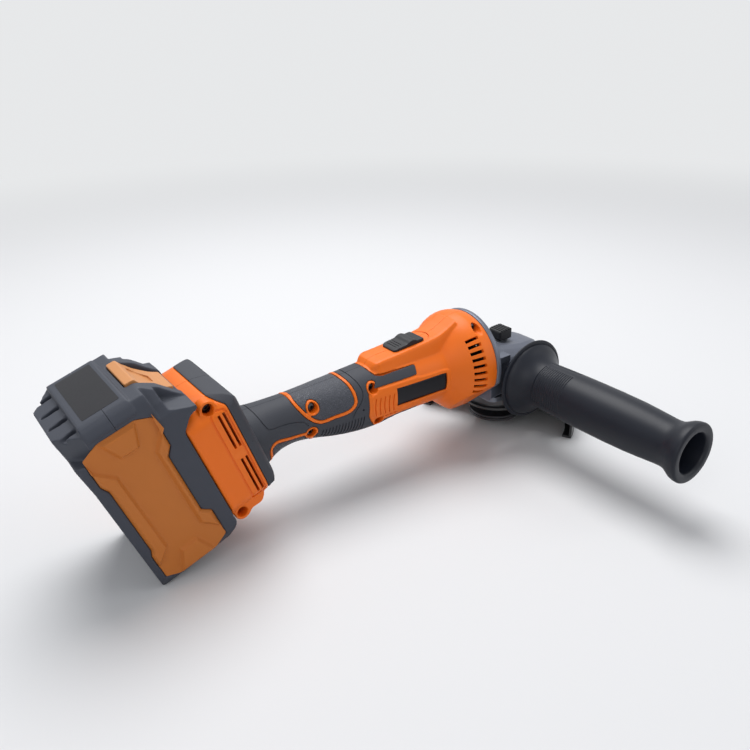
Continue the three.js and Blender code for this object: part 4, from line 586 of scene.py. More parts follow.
def vent_slots(first):
    bar = loft([[(x, y, z) for y, z in ((25, -1.25), (48, -1.25), (48, 1.25), (25, 1.25))] for x in (-60.8, -50.6)])
    return repeated(swung(bar, first, "X"), VENT_COUNT, turn=(VENT_PITCH, 0, 0))


def foot_slots():
    return [block(w - 0.85, w + 0.85, -BEYOND, BEYOND, low, high, UPRIGHT)
            for low, high in ((-38.6, -8.6), (0.1, 27.4)) for w in (54.4, 57.8)]


RAIL_BOTTOM, RAIL_NECK, RAIL_HEAD = -33.5, 15, 19


def rail_channel(clear):
    low, high, neck, head = RAIL_BOTTOM - clear, 40 + clear, RAIL_NECK + clear, RAIL_HEAD + clear
    return joined(block(27, high, -neck, neck, low, 90, UPRIGHT),
                  block(36.5 - clear, high, -head, head, low, 90, UPRIGHT))


CORE_DEPTH = 2.3
BELL_WALL = 2.6
FOOT_WALL = 4.7
TERMINAL_HALF = 11.3
SCREW_WELL, BELL_SCREW_WELL = 3.7, 3.6
PARTING_GAP = 0.13
outer = joined(outer_form(0), saddle(0))
core = outer_form(-CORE_DEPTH)
zone = cut(grip_zone(0), line_forms(0))
beads = overlap(line_forms(0), outer_form(BEAD_RISE), grip_zone(0.5))
# A low plateau carries the label's bed and the ribs behind it.
PLATEAU = [(-145.5, -9.5), (-145.3, 5), (-141, 9.4), (-104, 10.4), (-100, 9.4), (-75.5, 9.2), (-75.5, -10),
           (-98, -10.4), (-101, -14.6), (-139, -15)]
plateau = overlap(across(eased(PLATEAU, 1.5)), body_form(0.9))
housing = joined(cut(outer, zone), core, foot_lugs(0), beads, plateau)

# Panels sunk in the flanks: the label's bed, the inlay's bed, and the frame round the inlets.
LABEL = oblong(-124, -78, -7.3, 6.5)
INLAY = [(-141.5, 10.6), (-104.2, 11.8), (-102.8, 17.6), (-137.5, 16.8)]
PLATE_BED = 0.2
label_bed = cut(across(offset(LABEL, 0.3)), body_form(-PLATE_BED))
inlay_bed = cut(across(offset(INLAY, 0.35)), body_form(-1.0), block(-150, -90, -13, 13, 0, 60))
frame_lines = ([(48.6, -42.5), (59.8, -42.5), (60.3, 29.5), (52.0, 31.5), (48.6, 28)],
               [(50, -41), (58.9, -41), (59.2, 28.4), (52.3, 30.1), (50, 27.6)])
inlet_frame = cut(cut(*[across(eased(line, 2), place=UPRIGHT) for line in frame_lines]), foot_form(-0.6))
thumb_stop = prism(ribbon(curve_through([(-83, -8.5), (-79.8, -4.5), (-78.6, 0), (-79.8, 4.5), (-83, 8.5)]), 0.9),
                   "xy", 30.5, 45)
bell_room = body_form(-BELL_WALL, -66, BELL_FRONT + 1)
foot_room = cut(foot_form(-FOOT_WALL), block(27, 43, -22, 22, -37, 90, UPRIGHT))
terminal_window = block(39, 49, -TERMINAL_HALF, TERMINAL_HALF, -30.3, -11.7, UPRIGHT)
switch_slot = block(-108, -96, -3.5, 3.5, 15, 50)
housing = cut(housing, inlay_bed, bell_room, foot_room, rail_channel(0.5), terminal_window, switch_slot)
housing = joined(housing, overlap(rod("y", 5.8, -40, 40, BELL_SCREW[:2]), body_form(-0.4)))
recesses = [rod("y", radius, *beside(side, seat, BEYOND), (x, z))
            for radius, spots in ((SCREW_WELL, BOSSES), (BELL_SCREW_WELL, [BELL_SCREW]))
            for side in (-1, 1) for x, z, seat in spots]
housing = moulded(cut(housing, *recesses), voxel=0.55, soften=3, limit=330000)
RIB_COUNT, RIB_STEP = 5, (3.9, 0, 0)
flank_ribs = across(ribbon(curve_through([(-142.4, 3.5), (-143.6, -3), (-142.6, -10.5)]), 1.0))
flank_ribs = cut(repeated(flank_ribs, RIB_COUNT, step=RIB_STEP), body_form(0.1))
rib_dots = repeated(across(oblong(-142.2, -139.6, -12.4, -13.3)), RIB_COUNT, step=RIB_STEP)
rib_dots = cut(rib_dots, body_form(0.1))
housing = cut(housing, flank_ribs, rib_dots, thumb_stop, label_bed, inlet_frame, *foot_slots(),
              *[vent_slots(first) for first in VENT_FIRST])


def halves(whole):
    """A form parted on the middle plane, with the hair line that shows there."""
    right, left = twin(whole), whole
    return (overlap(right, block(-420, 120, -220, -PARTING_GAP, -120, 120)),
            overlap(left, block(-420, 120, PARTING_GAP, 220, -120, 120)))


def fitted(piece, name, body, material, nodes=(), crisp=None):
    """A finished form brought into the tool's frame, with its finish, its body and its nodes."""
    piece.data.transform(TO_METRES)
    piece.name = name
    piece.data.name = name
    piece.data.materials.clear()
    piece.data.materials.append(material)
    piece.data.polygons.foreach_set("use_smooth", [True] * len(piece.data.polygons))
    if crisp:
        piece.data.set_sharp_from_angle(angle=math.radians(crisp))
    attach(piece, body)
    if nodes:
        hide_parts(*nodes)
    return piece


def mixed(tree, share, one, other):
    """Two colours mixed."""
    return add(tree, "ShaderNodeMix", {"Factor": share, 6: one, 7: other}, data_type="RGBA").outputs[2]


def surface_end(tree, result, colour, roughness, height, depth):
    """A group's three outputs: colour, roughness, and a normal from a height."""
    bump = add(tree, "ShaderNodeBump", {"Height": height, "Distance": depth})
    feed(tree, result, {"Colour": colour, "Roughness": roughness, "Normal": bump.outputs[0]})
    return tree


SURFACE = (("Colour", "Color"), ("Roughness", "Float"), ("Normal", "Vector"))


def surface_group():
    """Mottle, fine grain and rubbed edges, shared by every moulded finish."""
    tree, given, result = node_group("Moulded surface", "ShaderNodeTree", (
        ("Colour", "Color", (0.5, 0.5, 0.5, 1)), ("Edge colour", "Color", (0.6, 0.6, 0.6, 1)),
        ("Roughness", "Float", 0.5), ("Grain size", "Float", 1800.0), ("Grain depth", "Float", 0.00003),
        ("Edge wear", "Float", 0.4), ("Mottle", "Float", 0.06)), SURFACE)
    place = add(tree, "ShaderNodeTexCoord").outputs["Object"]
    grain = add(tree, "ShaderNodeTexNoise", {"Vector": place, "Scale": given["Grain size"], "Detail": 3})
    cloud = add(tree, "ShaderNodeTexNoise", {"Vector": place, "Scale": 28, "Detail": 4})
    grain, cloud = grain.outputs["Fac"], cloud.outputs["Fac"]
    swing = calc(tree, "MULTIPLY_ADD", cloud, given["Mottle"], 1.0)
    level = calc(tree, "SUBTRACT", swing, calc(tree, "MULTIPLY", given["Mottle"], 0.5))
    shade = add(tree, "ShaderNodeHueSaturation", {"Color": given["Colour"], "Value": level})
    corner = add(tree, "ShaderNodeNewGeometry").outputs["Pointiness"]
    edge = add(tree, "ShaderNodeMapRange", {"Value": corner, "From Min": 0.52, "From Max": 0.62})
    worn = calc(tree, "MULTIPLY", calc(tree, "MULTIPLY", edge.outputs["Result"], cloud), given["Edge wear"])
    colour = mixed(tree, worn, shade.outputs[0], given["Edge colour"])
    rough = calc(tree, "MULTIPLY_ADD", grain, 0.12, given["Roughness"])
    return surface_end(tree, result, colour, rough, grain, given["Grain depth"])


def finish(name, group, metallic=0.0, specular=0.5, coat=0.0, **values):
    """A material whose colour, roughness and normal come from a shared group."""
    material = bpy.data.materials.new(name)
    material.use_nodes = True
    tree = material.node_tree
    effect = add(tree, "ShaderNodeGroup", node_tree=group)
    feed(tree, effect, {label.replace("_", " "): value for label, value in values.items()})
    feed(tree, tree.nodes["Principled BSDF"], {
        "Metallic": metallic, "Specular IOR Level": specular, "Coat Weight": coat,
        "Base Color": effect.outputs["Colour"], "Roughness": effect.outputs["Roughness"],
        "Normal": effect.outputs["Normal"]})
    return material


MOULDED_SURFACE = surface_group()


def skinned(name, colour, edge, roughness, grain, depth, mottle, wear=0.4, **shader):
    """A finish with the moulded surface; the grain's depth is in millimetres."""
    return finish(name, MOULDED_SURFACE, Colour=(*colour, 1), Edge_colour=(*edge, 1), Roughness=roughness,
                  Grain_size=grain, Grain_depth=depth / 1000, Mottle=mottle, Edge_wear=wear, **shader)


shell_orange = skinned("orange nylon", (0.82, 0.155, 0.006), (0.90, 0.27, 0.05), 0.38, 1500, 0.035, 0.05,
                       specular=0.3)
for side, piece in zip(("right", "left"), halves(housing)):
    fitted(piece, f"motor_housing_{side}", "body", shell_orange, [f"housing_{side}"], crisp=42)

# ---------------------------------------------------------------- Soft grips
# Charcoal rubber moulded over the shells, 2 mm thick: the sleeve round the grip and foot, and on
# each side a palm pad and a heel pad with a leather grain, set off by the orange beads.
GRIP_SKIN = 2.0
GRIP_GAP = 0.3
skin = cut(overlap(outer_form(0), grip_zone(-GRIP_GAP)), outer_form(-GRIP_SKIN), line_forms(GRIP_GAP),
           foot_lugs(GRIP_GAP))
palm_pads = overlap(twin(skin), across(PALM_LINE))
heel_pads = overlap(twin(skin), across(HEEL_LINE))
sleeve = cut(skin, across(PALM_LINE), across(HEEL_LINE), saddle(GRIP_GAP))


def scored(piece, outline, depth):
    """A line or field pressed into the body's surface to some depth."""
    return cut(piece, cut(across(outline), body_form(-depth)))


SEAM_LINES = [
    [(-236, 22), (-232.5, 16), (-229.5, 9), (-225.7, 5.4), (-213, 4.5), (-205, 3.3), (-200, 1.6), (-196.5, -2.2)],
    [(-163, 35), (-156.5, 24), (-152.5, 16), (-151.8, 9), (-155, 3.4), (-159.5, -1.5), (-162, -6.9)],
]
sleeve = moulded(sleeve, voxel=0.55, soften=2, limit=300000)
for line in SEAM_LINES:
    sleeve = scored(sleeve, ribbon(curve_through(line), 0.7), 0.5)
heel_ribs = repeated(across([(-185.4, -9.5), (-184.4, -9.3), (-185.6, -40), (-186.6, -40)]), 14, step=(2.5, 0, 0.12))
heel_ribs = cut(heel_ribs, body_form(-0.7))
grip_dimples = [rod("y", 0.8, -60, 60, spot, 20) for spot in ((-172.9, 8.8), (-153, -2.4))]
foot_dimples = [rod("y", 0.9, *beside(side, 36.4, 60), (66.3, -3.6), 20, UPRIGHT) for side in (-1, 1)]
sleeve = cut(sleeve, heel_ribs, cut(joined(*grip_dimples), body_form(-1.2)), *foot_dimples)


def leather_group():
    """Pebbled leather grain: rounded cells with creases between them; the creases are painted darker, as shade."""
    tree, given, result = node_group("Leather grain", "ShaderNodeTree", (
        ("Colour", "Color", (0.1, 0.1, 0.1, 1)), ("Crease colour", "Color", (0.05, 0.05, 0.05, 1)),
        ("Roughness", "Float", 0.6), ("Cell size", "Float", 700.0), ("Depth", "Float", 0.0002)), SURFACE)
    place = add(tree, "ShaderNodeTexCoord").outputs["Object"]
    cells = add(tree, "ShaderNodeTexVoronoi", {"Vector": place, "Scale": given["Cell size"]},
                feature="DISTANCE_TO_EDGE")
    crown = add(tree, "ShaderNodeMapRange", {"Value": cells.outputs["Distance"], "From Max": 0.3},
                interpolation_type="SMOOTHSTEP").outputs["Result"]
    # The creases take the darker colour: painted shade in them.
    colour = mixed(tree, crown, given["Crease colour"], given["Colour"])
    rough = calc(tree, "MULTIPLY_ADD", crown, -0.14, given["Roughness"])
    return surface_end(tree, result, colour, rough, crown, given["Depth"])


soft_rubber = skinned("charcoal rubber", (0.044, 0.047, 0.058), (0.10, 0.105, 0.125), 0.55, 1300, 0.04, 0.16,
                      specular=0.3)
# The darker crease colour is painted shade in the grain's creases.
leather_rubber = finish("leather-grained rubber", leather_group(), Colour=(0.058, 0.063, 0.083, 1),
                        Crease_colour=(0.034, 0.037, 0.048, 1), Roughness=0.6, Cell_size=850.0, Depth=0.00016)
grips = (("grip_sleeve", sleeve, soft_rubber),
         ("palm_pad", moulded(palm_pads, voxel=0.5, soften=3, limit=60000), leather_rubber),
         ("heel_pad", moulded(heel_pads, voxel=0.5, soften=3, limit=40000), leather_rubber))
for name, whole, rubber in grips:
    for side, piece in zip(("right", "left"), halves(whole)):
        fitted(piece, f"{name}_{side}_moulding", "body", rubber, [f"{name}_{side}"], crisp=42)

# ---------------------------------------------------------------- Shell screws
# Seven blackened pan-head screws with six-lobed sockets draw the right half shell onto the left.
# Six sit in the ringed bosses of grip and foot, the seventh high on the bell.
HEAD_RADIUS = 3.0
HEAD_HEIGHT = 2.1
LOBE_DEPTH = 0.14


def six_lobes(along, angle, radius):
    return radius * (1 + LOBE_DEPTH * math.cos(6 * angle))


screw_head = cut(lathe([(0, 0), (0, HEAD_RADIUS - 0.2), (0.5, HEAD_RADIUS), (1.2, HEAD_RADIUS - 0.15),
                        (1.8, HEAD_RADIUS - 0.8), (HEAD_HEIGHT, HEAD_RADIUS - 1.6), (HEAD_HEIGHT, 0)], "z", count=36),
                 lathe([(0.7, 0), (0.7, 1.25), (3, 1.45), (3, 0)], "z", count=48, shape=six_lobes))


def place_group():
    tree, given, result = node_group("Place on points", "GeometryNodeTree", (
        ("Geometry", "Geometry"), ("Element", "Object"), ("Finish", "Material")), (("Geometry", "Geometry"),))
    source = add(tree, "GeometryNodeObjectInfo", {"Object": given["Element"]})
    return instanced(tree, given, result, {"Points": given["Geometry"], "Instance": source.outputs["Geometry"]})


PLACE = place_group()


def on_points(element, spots, material):
    """One solid placed at each of several points, as one mesh."""
    holder = worked(linked("spots", plain_mesh("spots", spots)), PLACE, {"Element": element, "Finish": material})
    bpy.data.objects.remove(element)
    return holder


def together(*pieces):
    """Separate solids kept in one mesh."""
    edit = bmesh.new()
    for piece in pieces:
        edit.from_mesh(piece.data)
    mesh = bpy.data.meshes.new("together")
    edit.to_mesh(mesh)
    edit.free()
    for piece in pieces:
        bpy.data.objects.remove(piece)
    return linked("together", mesh)


screw_places = [*BOSSES, BELL_SCREW]
black_oxide = skinned("black oxide steel", (0.045, 0.045, 0.05), (0.22, 0.22, 0.23), 0.34, 2200, 0.01, 0.3, 0.6,
                      metallic=0.9)
heads = on_points(swung(screw_head, 90, "X"), [(x, -seat - 0.3, z) for x, z, seat in screw_places], black_oxide)
shanks = [rod("y", 1.5, -seat - 0.5, 10, (x, z), 20) for x, z, seat in screw_places]
fitted(together(heads, *shanks), "shell_screws", "body", black_oxide,
       [f"housing_screw_{i}" for i in range(1, 8)], crisp=35)

# ---------------------------------------------------------------- Inlays and label plates
# A grey rubber strip let into the shoulder of each flank, and bare near-black plates where a
# maker would put the rating label: one on each flank and one on top of the pack.
inlay_strips = overlap(cut(across(INLAY), body_form(-0.95)), body_form(0.15))
inlay_strips = cut(inlay_strips, saddle(0.2), block(-150, -90, -12, 12, -60, 60))
inlay_strips = moulded(inlay_strips, voxel=0.3, soften=2, limit=16000)
fitted(inlay_strips, "flank_inlays", "body", soft_rubber)
plate_film = skinned("satin label film", (0.007, 0.007, 0.010), (0.03, 0.03, 0.035), 0.3, 700, 0.01, 0.25,
                     specular=0.25)
flank_plates = overlap(cut(across(eased(LABEL, 1.2)), body_form(-PLATE_BED)), body_form(0.25))
fitted(flank_plates, "flank_label_plates", "body", plate_film)

# ---------------------------------------------------------------- Gear head
# Die-cast case in satin grey: a round flange against the bell, a bevelled crown over the bevel
# gears, a threaded boss on each side for the handle, and a pocket on top for the spindle lock.
CASE_REAR, CASE_FRONT = BELL_FRONT + 0.3, BELL_FRONT + 5.3
HEAD_BOTTOM = -30
HANDLE_Z = (joints["side_handle_screw"]["pos_m"][2] - CROSSING) * 1000
COLLAR_RADIUS = 40.8
CROWN_LEAN = 1.257
SCREW_HOLE, SCREW_SEAT = 2.3, 4.0
LOCK_PIN = (8.6, 0)
CASE_SCREWS = [(-26, 22), (26, 22), (-34.2, -9.5), (34.2, -9.5)]
PLATE_SCREWS = [(-24.5, -22), (-24.5, 22), (25.5, -16.5), (25.5, 16.5)]


def head_section(x, top, half):
    bevel = min(14, half * 0.6)
    right = [(half - 3, HEAD_BOTTOM), (half, HEAD_BOTTOM + 3), (half, top - bevel * 0.75),
             (half - bevel * 0.22, top - bevel * 0.46), (half - bevel * 0.64, top - bevel * 0.15),
             (half - bevel, top)]
    return [(x, y, z) for y, z in mirrored(right)]


def disc_section(x, radius):
    return ring_at(x, 0, BELL_FLAT + radius - COLLAR_RADIUS, lambda c, s: radius)


crown = [(-35.2, 17, 30.5), (-30.2, 15.2, 30), (-24, 12.6, 29), (-12, 8.4, 29), (0, 5.9, 29)]
for degrees in range(0, 73, 6):
    lean = math.radians(degrees)
    crown.append((12 + 28 * math.sin(lean) / math.sin(CROWN_LEAN), 4.2 - 13 * (1 - math.cos(lean)),
                  29 * math.cos(lean) ** 0.8))
case = joined(
    loft([head_section(*entry) for entry in crown]),
    loft([disc_section(x, r) for x, r in ((CASE_REAR, 40.2), (CASE_REAR + 0.8, COLLAR_RADIUS),
                                          (CASE_FRONT - 1.2, COLLAR_RADIUS), (CASE_FRONT, 39.4))]),
    cut(rod("y", 12, -35, 35, (0, HANDLE_Z), 64), block(-20, 20, -60, 60, -60, HEAD_BOTTOM)),
    rod("x", 13.8, CASE_REAR - 6.5, CASE_REAR + 1, count=64),
    block(-30, -15, -30.5, 30.5, 0.5, 6.5))
lock_well = prism(eased(oblong(-5.5, 12.2, -9.5, 9.5), 2.5), "xy", 4, 30)
gear_room = joined(lathe([(-35, 0), (-35, 20.8), (-3.8, 20.8), (-1.8, 18.8), (-1.8, 5.4), (2.3, 5.4), (2.3, 0)]),
                   lathe([(-60, 0), (-60, 7.3), (-15.5, 7.3), (-11, 5.3), (-11, 0)], "x", count=64),
                   rod("x", 11.3, -60, -38.4, count=64))
case = moulded(cut(case, lock_well, gear_room), voxel=0.55, soften=3, limit=90000)
case = cut(case, rod("z", 2.2, -20, 20, LOCK_PIN),
           *[rod("y", 4.3, *beside(side, 22, 60), (0, HANDLE_Z), 40) for side in (-1, 1)],
           *[rod("x", SCREW_HOLE, -45, -20, spot, 24) for spot in CASE_SCREWS],
           *[rod("x", SCREW_SEAT, CASE_FRONT - 0.5, -20, spot, 32) for spot in CASE_SCREWS],
           *[rod("z", 2.15, -50, -22, spot, 24) for spot in PLATE_SCREWS])
case_grey = skinned("cast case, satin grey", (0.135, 0.147, 0.185), (0.34, 0.35, 0.37), 0.38, 1100, 0.04, 0.14, 0.7,
                    metallic=0.55)
fitted(case, "gear_case", "body", case_grey, ["gear_housing"], crisp=32)

PLATE_TOP, PLATE_BASE = HEAD_BOTTOM - 0.3, HEAD_BOTTOM - 4.3
plate_line = mirrored([(-30.5, -24), (-26.5, -28), (14, -28), (23, -23), (31.5, -14), (34.5, -5)], by=1)
plate = joined(prism(eased(plate_line, 4), "xy", PLATE_BASE, PLATE_TOP),
               rod("z", 20.5, -47.4, PLATE_BASE + 0.5, count=96), rod("z", 20.5, PLATE_TOP - 0.5, -18.8, count=96))
plate = cut(plate, rod("z", 16.3, -28.9, 0, count=96), rod("z", 10.5, -60, 0, count=96),
            *[rod("z", SCREW_HOLE, -50, 0, spot, 24) for spot in PLATE_SCREWS],
            *[rod("z", SCREW_SEAT, PLATE_BASE - 1, PLATE_BASE + 2.2, spot, 32) for spot in PLATE_SCREWS],
            lathe([(-44.4, 19.8), (-44.4, 24), (-43.2, 24), (-43.2, 19.8)], closed=True))
fitted(plate, "bearing_retainer_plate", "body", case_grey, ["bearing_retainer"], crisp=30)


def pan_screw(head, height, shank, length):
    """A pan-head screw standing on the origin, its shank below and its socket above."""
    outline = lathe([(-length, 0), (-length, shank - 0.4), (0.4 - length, shank), (0, shank), (0, head - 0.15),
                     (0.15, head), (height * 0.5, head - 0.1), (height * 0.8, head * 0.78), (height, head * 0.5),
                     (height, 0)], count=36)
    return cut(outline, lathe([(height * 0.35, 0), (height * 0.35, head * 0.42), (height + 1, head * 0.48),
                               (height + 1, 0)], count=48, shape=six_lobes))


plated = skinned("plated steel", (0.50, 0.49, 0.46), (0.75, 0.74, 0.70), 0.26, 2600, 0.01, 0.3, metallic=1.0)
case_screw = swung(pan_screw(3.4, 2.6, 1.9, 17), 90, "Y")
plate_screw = swung(pan_screw(3.55, 2.2, 1.9, 9), 180, "X")
case_heads = on_points(case_screw, [(CASE_FRONT + 0.3, y, z) for y, z in CASE_SCREWS], plated)
fitted(case_heads, "gear_case_screws", "body", plated, [f"gear_screw_{i}" for i in range(1, 5)], crisp=30)
plate_heads = on_points(plate_screw, [(x, y, PLATE_BASE + 2.0) for x, y in PLATE_SCREWS], black_oxide)
fitted(plate_heads, "retainer_plate_screws", "body", black_oxide,
       [f"retainer_screw_{i}" for i in range(1, 5)], crisp=30)

# ---------------------------------------------------------------- Spindle and disc clamping
# Ground steel spindle with an M14 thread, the stepped flange that the disc centres on, and the
# two-pin lock nut under it. The grinding disc itself isn't fitted.
THREAD_PITCH = 2.0


def turned_group():
    """Fine rings left by the lathe tool, with light stains."""
    tree, given, result = node_group("Turned metal", "ShaderNodeTree", (
        ("Colour", "Color", (0.5, 0.5, 0.5, 1)), ("Stain colour", "Color", (0.3, 0.28, 0.26, 1)),
        ("Roughness", "Float", 0.3), ("Ring size", "Float", 900.0), ("Depth", "Float", 0.00001)), SURFACE)
    place = add(tree, "ShaderNodeTexCoord").outputs["Object"]
    squeezed = add(tree, "ShaderNodeMapping", {"Vector": place, "Scale": (0.04, 0.04, 1.0)})
    rings = add(tree, "ShaderNodeTexNoise", {"Vector": squeezed.outputs[0], "Scale": given["Ring size"], "Detail": 2,
                                             "Roughness": 0.7}).outputs["Fac"]
    stain = add(tree, "ShaderNodeTexNoise", {"Vector": place, "Scale": 45, "Detail": 5})
    spots = add(tree, "ShaderNodeMapRange", {"Value": stain.outputs["Fac"], "From Min": 0.45, "From Max": 0.75,
                                             "To Max": 0.6})
    colour = mixed(tree, spots.outputs["Result"], given["Colour"], given["Stain colour"])
    rough = calc(tree, "MULTIPLY_ADD", rings, 0.2, given["Roughness"])
    return surface_end(tree, result, colour, rough, rings, given["Depth"])


def thread(depth, low, high):
    """Cuts a helical thread into a turned piece between two places."""
    def shape(along, angle, radius):
        wave = abs((along / THREAD_PITCH - angle / (2 * math.pi)) % 1 - 0.5) * 2
        fade = min(1, max(0, (along - low) / THREAD_PITCH), max(0, (high - along) / THREAD_PITCH))
        return radius - depth * wave * fade
    return shape


TURNED_METAL = turned_group()


def lathed(name, colour, stain, roughness, rings, depth=0.01):
    """A metal finish with turned rings; their depth is in millimetres."""
    return finish(name, TURNED_METAL, metallic=1.0, Colour=(*colour, 1), Stain_colour=(*stain, 1),
                  Roughness=roughness, Ring_size=rings, Depth=depth / 1000)


ground_steel = lathed("ground steel", (0.60, 0.60, 0.59), (0.42, 0.40, 0.37), 0.22, 1500)
spindle_line = [(-68, 0), (-68, 5.9), (-67.3, 6.8), *[(-67 + 0.25 * i, 6.98) for i in range(50)], (-54.3, 6.98),
                (-54, 7), (-54, 9.6), (-53.7, 10), (-30.6, 10), (-30.6, 7.6), (-28.9, 7.6), (-28.9, 6), (-16.5, 6),
                (-16.5, 4.6), (-6, 4.6), (-6, 3.5), (1.1, 3.5), (1.7, 2.9), (1.7, 0)]
spindle_bar = lathe(spindle_line, count=72, shape=thread(0.75, -67.5, -54.8))
spindle_bar = cut(spindle_bar, *[block(side * 12 - 3, side * 12 + 3, -20, 20, -53, -48.6) for side in (-1, 1)])
fitted(spindle_bar, "output_spindle", "spindle", ground_steel, ["spindle"], crisp=35)
flange_line = [(-59, 7.3), (-59, 21), (-58.6, 21.5), (-57.1, 21.5), (-56.8, 21.2), (-56.3, 19.2), (-51.4, 13.4),
               (-51, 13), (-51, 10.3), (-53.7, 10.3), (-53.7, 7.3)]
flange = cut(lathe(flange_line, count=96, closed=True), *[block(side * 12.2 - 2, side * 12.2 + 2, -20, 20, -50.9, -50)
                                                         for side in (-1, 1)])
fitted(flange, "disc_flange", "spindle", black_oxide, ["inner_flange"], crisp=30)
nut_line = [(-65.3, 7.3), (-65.3, 12.4), (-64.7, 13), (-61.7, 20.5), (-61.3, 21.5), (-59.7, 21.5), (-59.3, 21.1),
            (-59.3, 7.3)]
nut = lathe(nut_line, count=96, closed=True)
nut = cut(nut, *[rod("z", 2.4, -66.3, -60.3, (15 * math.cos(a), 15 * math.sin(a)), 24)
                 for a in (math.radians(45 + 90 * i) for i in range(4))],
          lathe([(-63.9, 16.2), (-66, 16.2), (-66, 16.8), (-63.9, 16.8)], closed=True))
fitted(nut, "two_pin_nut", "spindle", black_oxide, ["lock_nut"], crisp=30)

# ---------------------------------------------------------------- Drive inside the housing
# The motor, its bearings, fan and baffle, the bevel gears and the bush keep their CAD solids,
# each with its own metal or moulding.
def dressed(material, *names):
    """CAD solids that stay as they are, in a better finish."""
    for name in names:
        for slot in frame["nodes"][name].material_slots:
            slot.link = "OBJECT"
            slot.material = material


gear_steel = lathed("case-hardened steel", (0.36, 0.36, 0.37), (0.20, 0.17, 0.13), 0.3, 1300)
motor_steel = lathed("zinc-plated motor can", (0.40, 0.41, 0.42), (0.30, 0.30, 0.31), 0.36, 400)
bush_bronze = skinned("sintered bronze", (0.45, 0.26, 0.10), (0.62, 0.40, 0.18), 0.42, 2400, 0.03, 0.35, metallic=1.0)
copper_wire = lathed("wound copper", (0.55, 0.24, 0.11), (0.25, 0.10, 0.05), 0.34, 2200, 0.06)
black_nylon = skinned("black nylon", (0.011, 0.011, 0.014), (0.07, 0.07, 0.08), 0.42, 1500, 0.03, 0.25, specular=0.35)
dressed(gear_steel, "ring_gear", "pinion", "spindle_bearing", "front_bearing", "rear_bearing", "lock_pin")
dressed(motor_steel, "motor_can")
dressed(bush_bronze, "spindle_bush")
dressed(copper_wire, "rotor", "pack_terminals")
dressed(black_nylon, "motor_end_cap", "cooling_fan", "fan_baffle", "switch_rod", "switch_unit",
        "foot_terminal_block")
dressed(ground_steel, "side_handle_stud", "lock_spring")

# ---------------------------------------------------------------- Spindle lock
# Black nylon button in the pocket on top of the gear head, ribbed across for the thumb. A spring
# lifts it off the pin that drops into the ring gear.
button = overlap(prism(eased(oblong(-4.6, 9.6, -6.8, 6.8), 1.6), "xy", 7.3, 20),
                 prism(eased([(-4.6, 7.3), (9.6, 7.3), (9.6, 14.6), (8.4, 16.2), (-3.2, 15.6), (-4.6, 14.2)], 1.0),
                       "xz", -10, 10))
ribs = repeated(block(-3.0, -1.9, -9, 9, 14.5, 20), 5, step=(2.5, 0, 0.1))
shoe = block(5.8, 11.6, -4, 4, 7.3, 10.7)
well = rod("z", 4.2, 0, 13.8, (1.5, 0), 48)
button = moulded(joined(button, shoe), voxel=0.28, soften=2, limit=24000)
button = cut(button, ribs, well, rod("z", 2.2, 0, 9.5, LOCK_PIN))
fitted(button, "spindle_lock_button", "lock_button", black_nylon, ["lock_button"], crisp=35)

# ---------------------------------------------------------------- Slide switch
# Black slider on the saddle: a rounded plate with a thumb ridge near its front end and shallow
# grip lines behind it.
RUNWAY_REAR, RUNWAY_LOW, RUNWAY_SLOPE = -116.5, 27.1, 0.09


def runway(x):
    return RUNWAY_LOW + RUNWAY_SLOPE * (x - RUNWAY_REAR)


def above(x, rise):
    return x, runway(x) + 0.3 + rise


slider_side = [above(-115, 0), above(-86, 0), above(-86, 1.6), above(-88, 2.6), above(-93.5, 2.7), above(-96.2, 4.3),
               above(-100, 4.4), above(-102.8, 2.7), above(-112, 2.3), above(-115, 1.2)]
slider_plan = oblong(-115, -86, -8.4, 8.4)
slider = overlap(prism(eased(slider_side, 1.4), "xz", -20, 20), prism(eased(slider_plan, 3.2), "xy", 0, 60))
slider = moulded(slider, voxel=0.3, soften=3, limit=26000)
stem_top = runway(-107.5) + 1.3
grip_lines = repeated(block(-111.6, -111.0, -5.6, 5.6, runway(-111) + 2.2, 40), 3, step=(2.4, 0, 0.2))
slider = joined(cut(slider, grip_lines), block(-107.5, -102.5, -3, 3, 22.7, stem_top))
fitted(slider, "switch_thumb_slider", "switch", black_nylon, ["switch_slider"], crisp=35)

# ---------------------------------------------------------------- Disc guard
# Half guard of pressed steel, black powder coat, turning on the neck of the retainer plate. A
# phosphated band with a screw across its ears clamps it where it is wanted.
GUARD_START = -65
CLAMP_AT = 25
CLAMP_SCREW = (31.1, -40.8)


def arc(centre, radius, start, end, steps=6):
    angles = [math.radians(start + (end - start) * i / steps) for i in range(steps + 1)]
    return [(centre[0] + radius * math.cos(a), centre[1] + radius * math.sin(a)) for a in angles]


# Profile points are height and radius.
guard_line = [(-72.5, 61.8), *arc((-71.5, 68.6), 1.0, 180, 90), *arc((-49.6, 65.6), 4.0, 90, 0), (-45.6, 52),
              (-45.1, 51), (-45.1, 47), (-45.6, 46), (-45.6, 27), *arc((-43.6, 27), 2.0, -180, -90, 4)[1:],
              (-43.6, 25.0), (-42.4, 23.4), (-41.4, 22.8), (-35.8, 22.8), (-35.8, 20.8), (-47.6, 20.8), (-47.6, 46.4),
              (-47.1, 47.4), (-47.1, 50.6), (-47.6, 51.6), *arc((-49.6, 65.6), 2.0, 0, 90), (-70.5, 67.6),
              (-70.5, 61.8)]
guard = lathe(guard_line, count=160, closed=True)
closed_half = swung(block(-100, 100, 0, 100, -100, 0), GUARD_START, "Z")
guard = overlap(guard, joined(closed_half, rod("z", 27.8, -100, 0, count=160)))
powder_black = skinned("black powder coat", (0.020, 0.021, 0.023), (0.12, 0.12, 0.12), 0.34, 900, 0.05, 0.25, 0.5,
                       specular=0.55)
fitted(guard, "disc_guard", "guard", powder_black, ["guard_shell"], crisp=28)

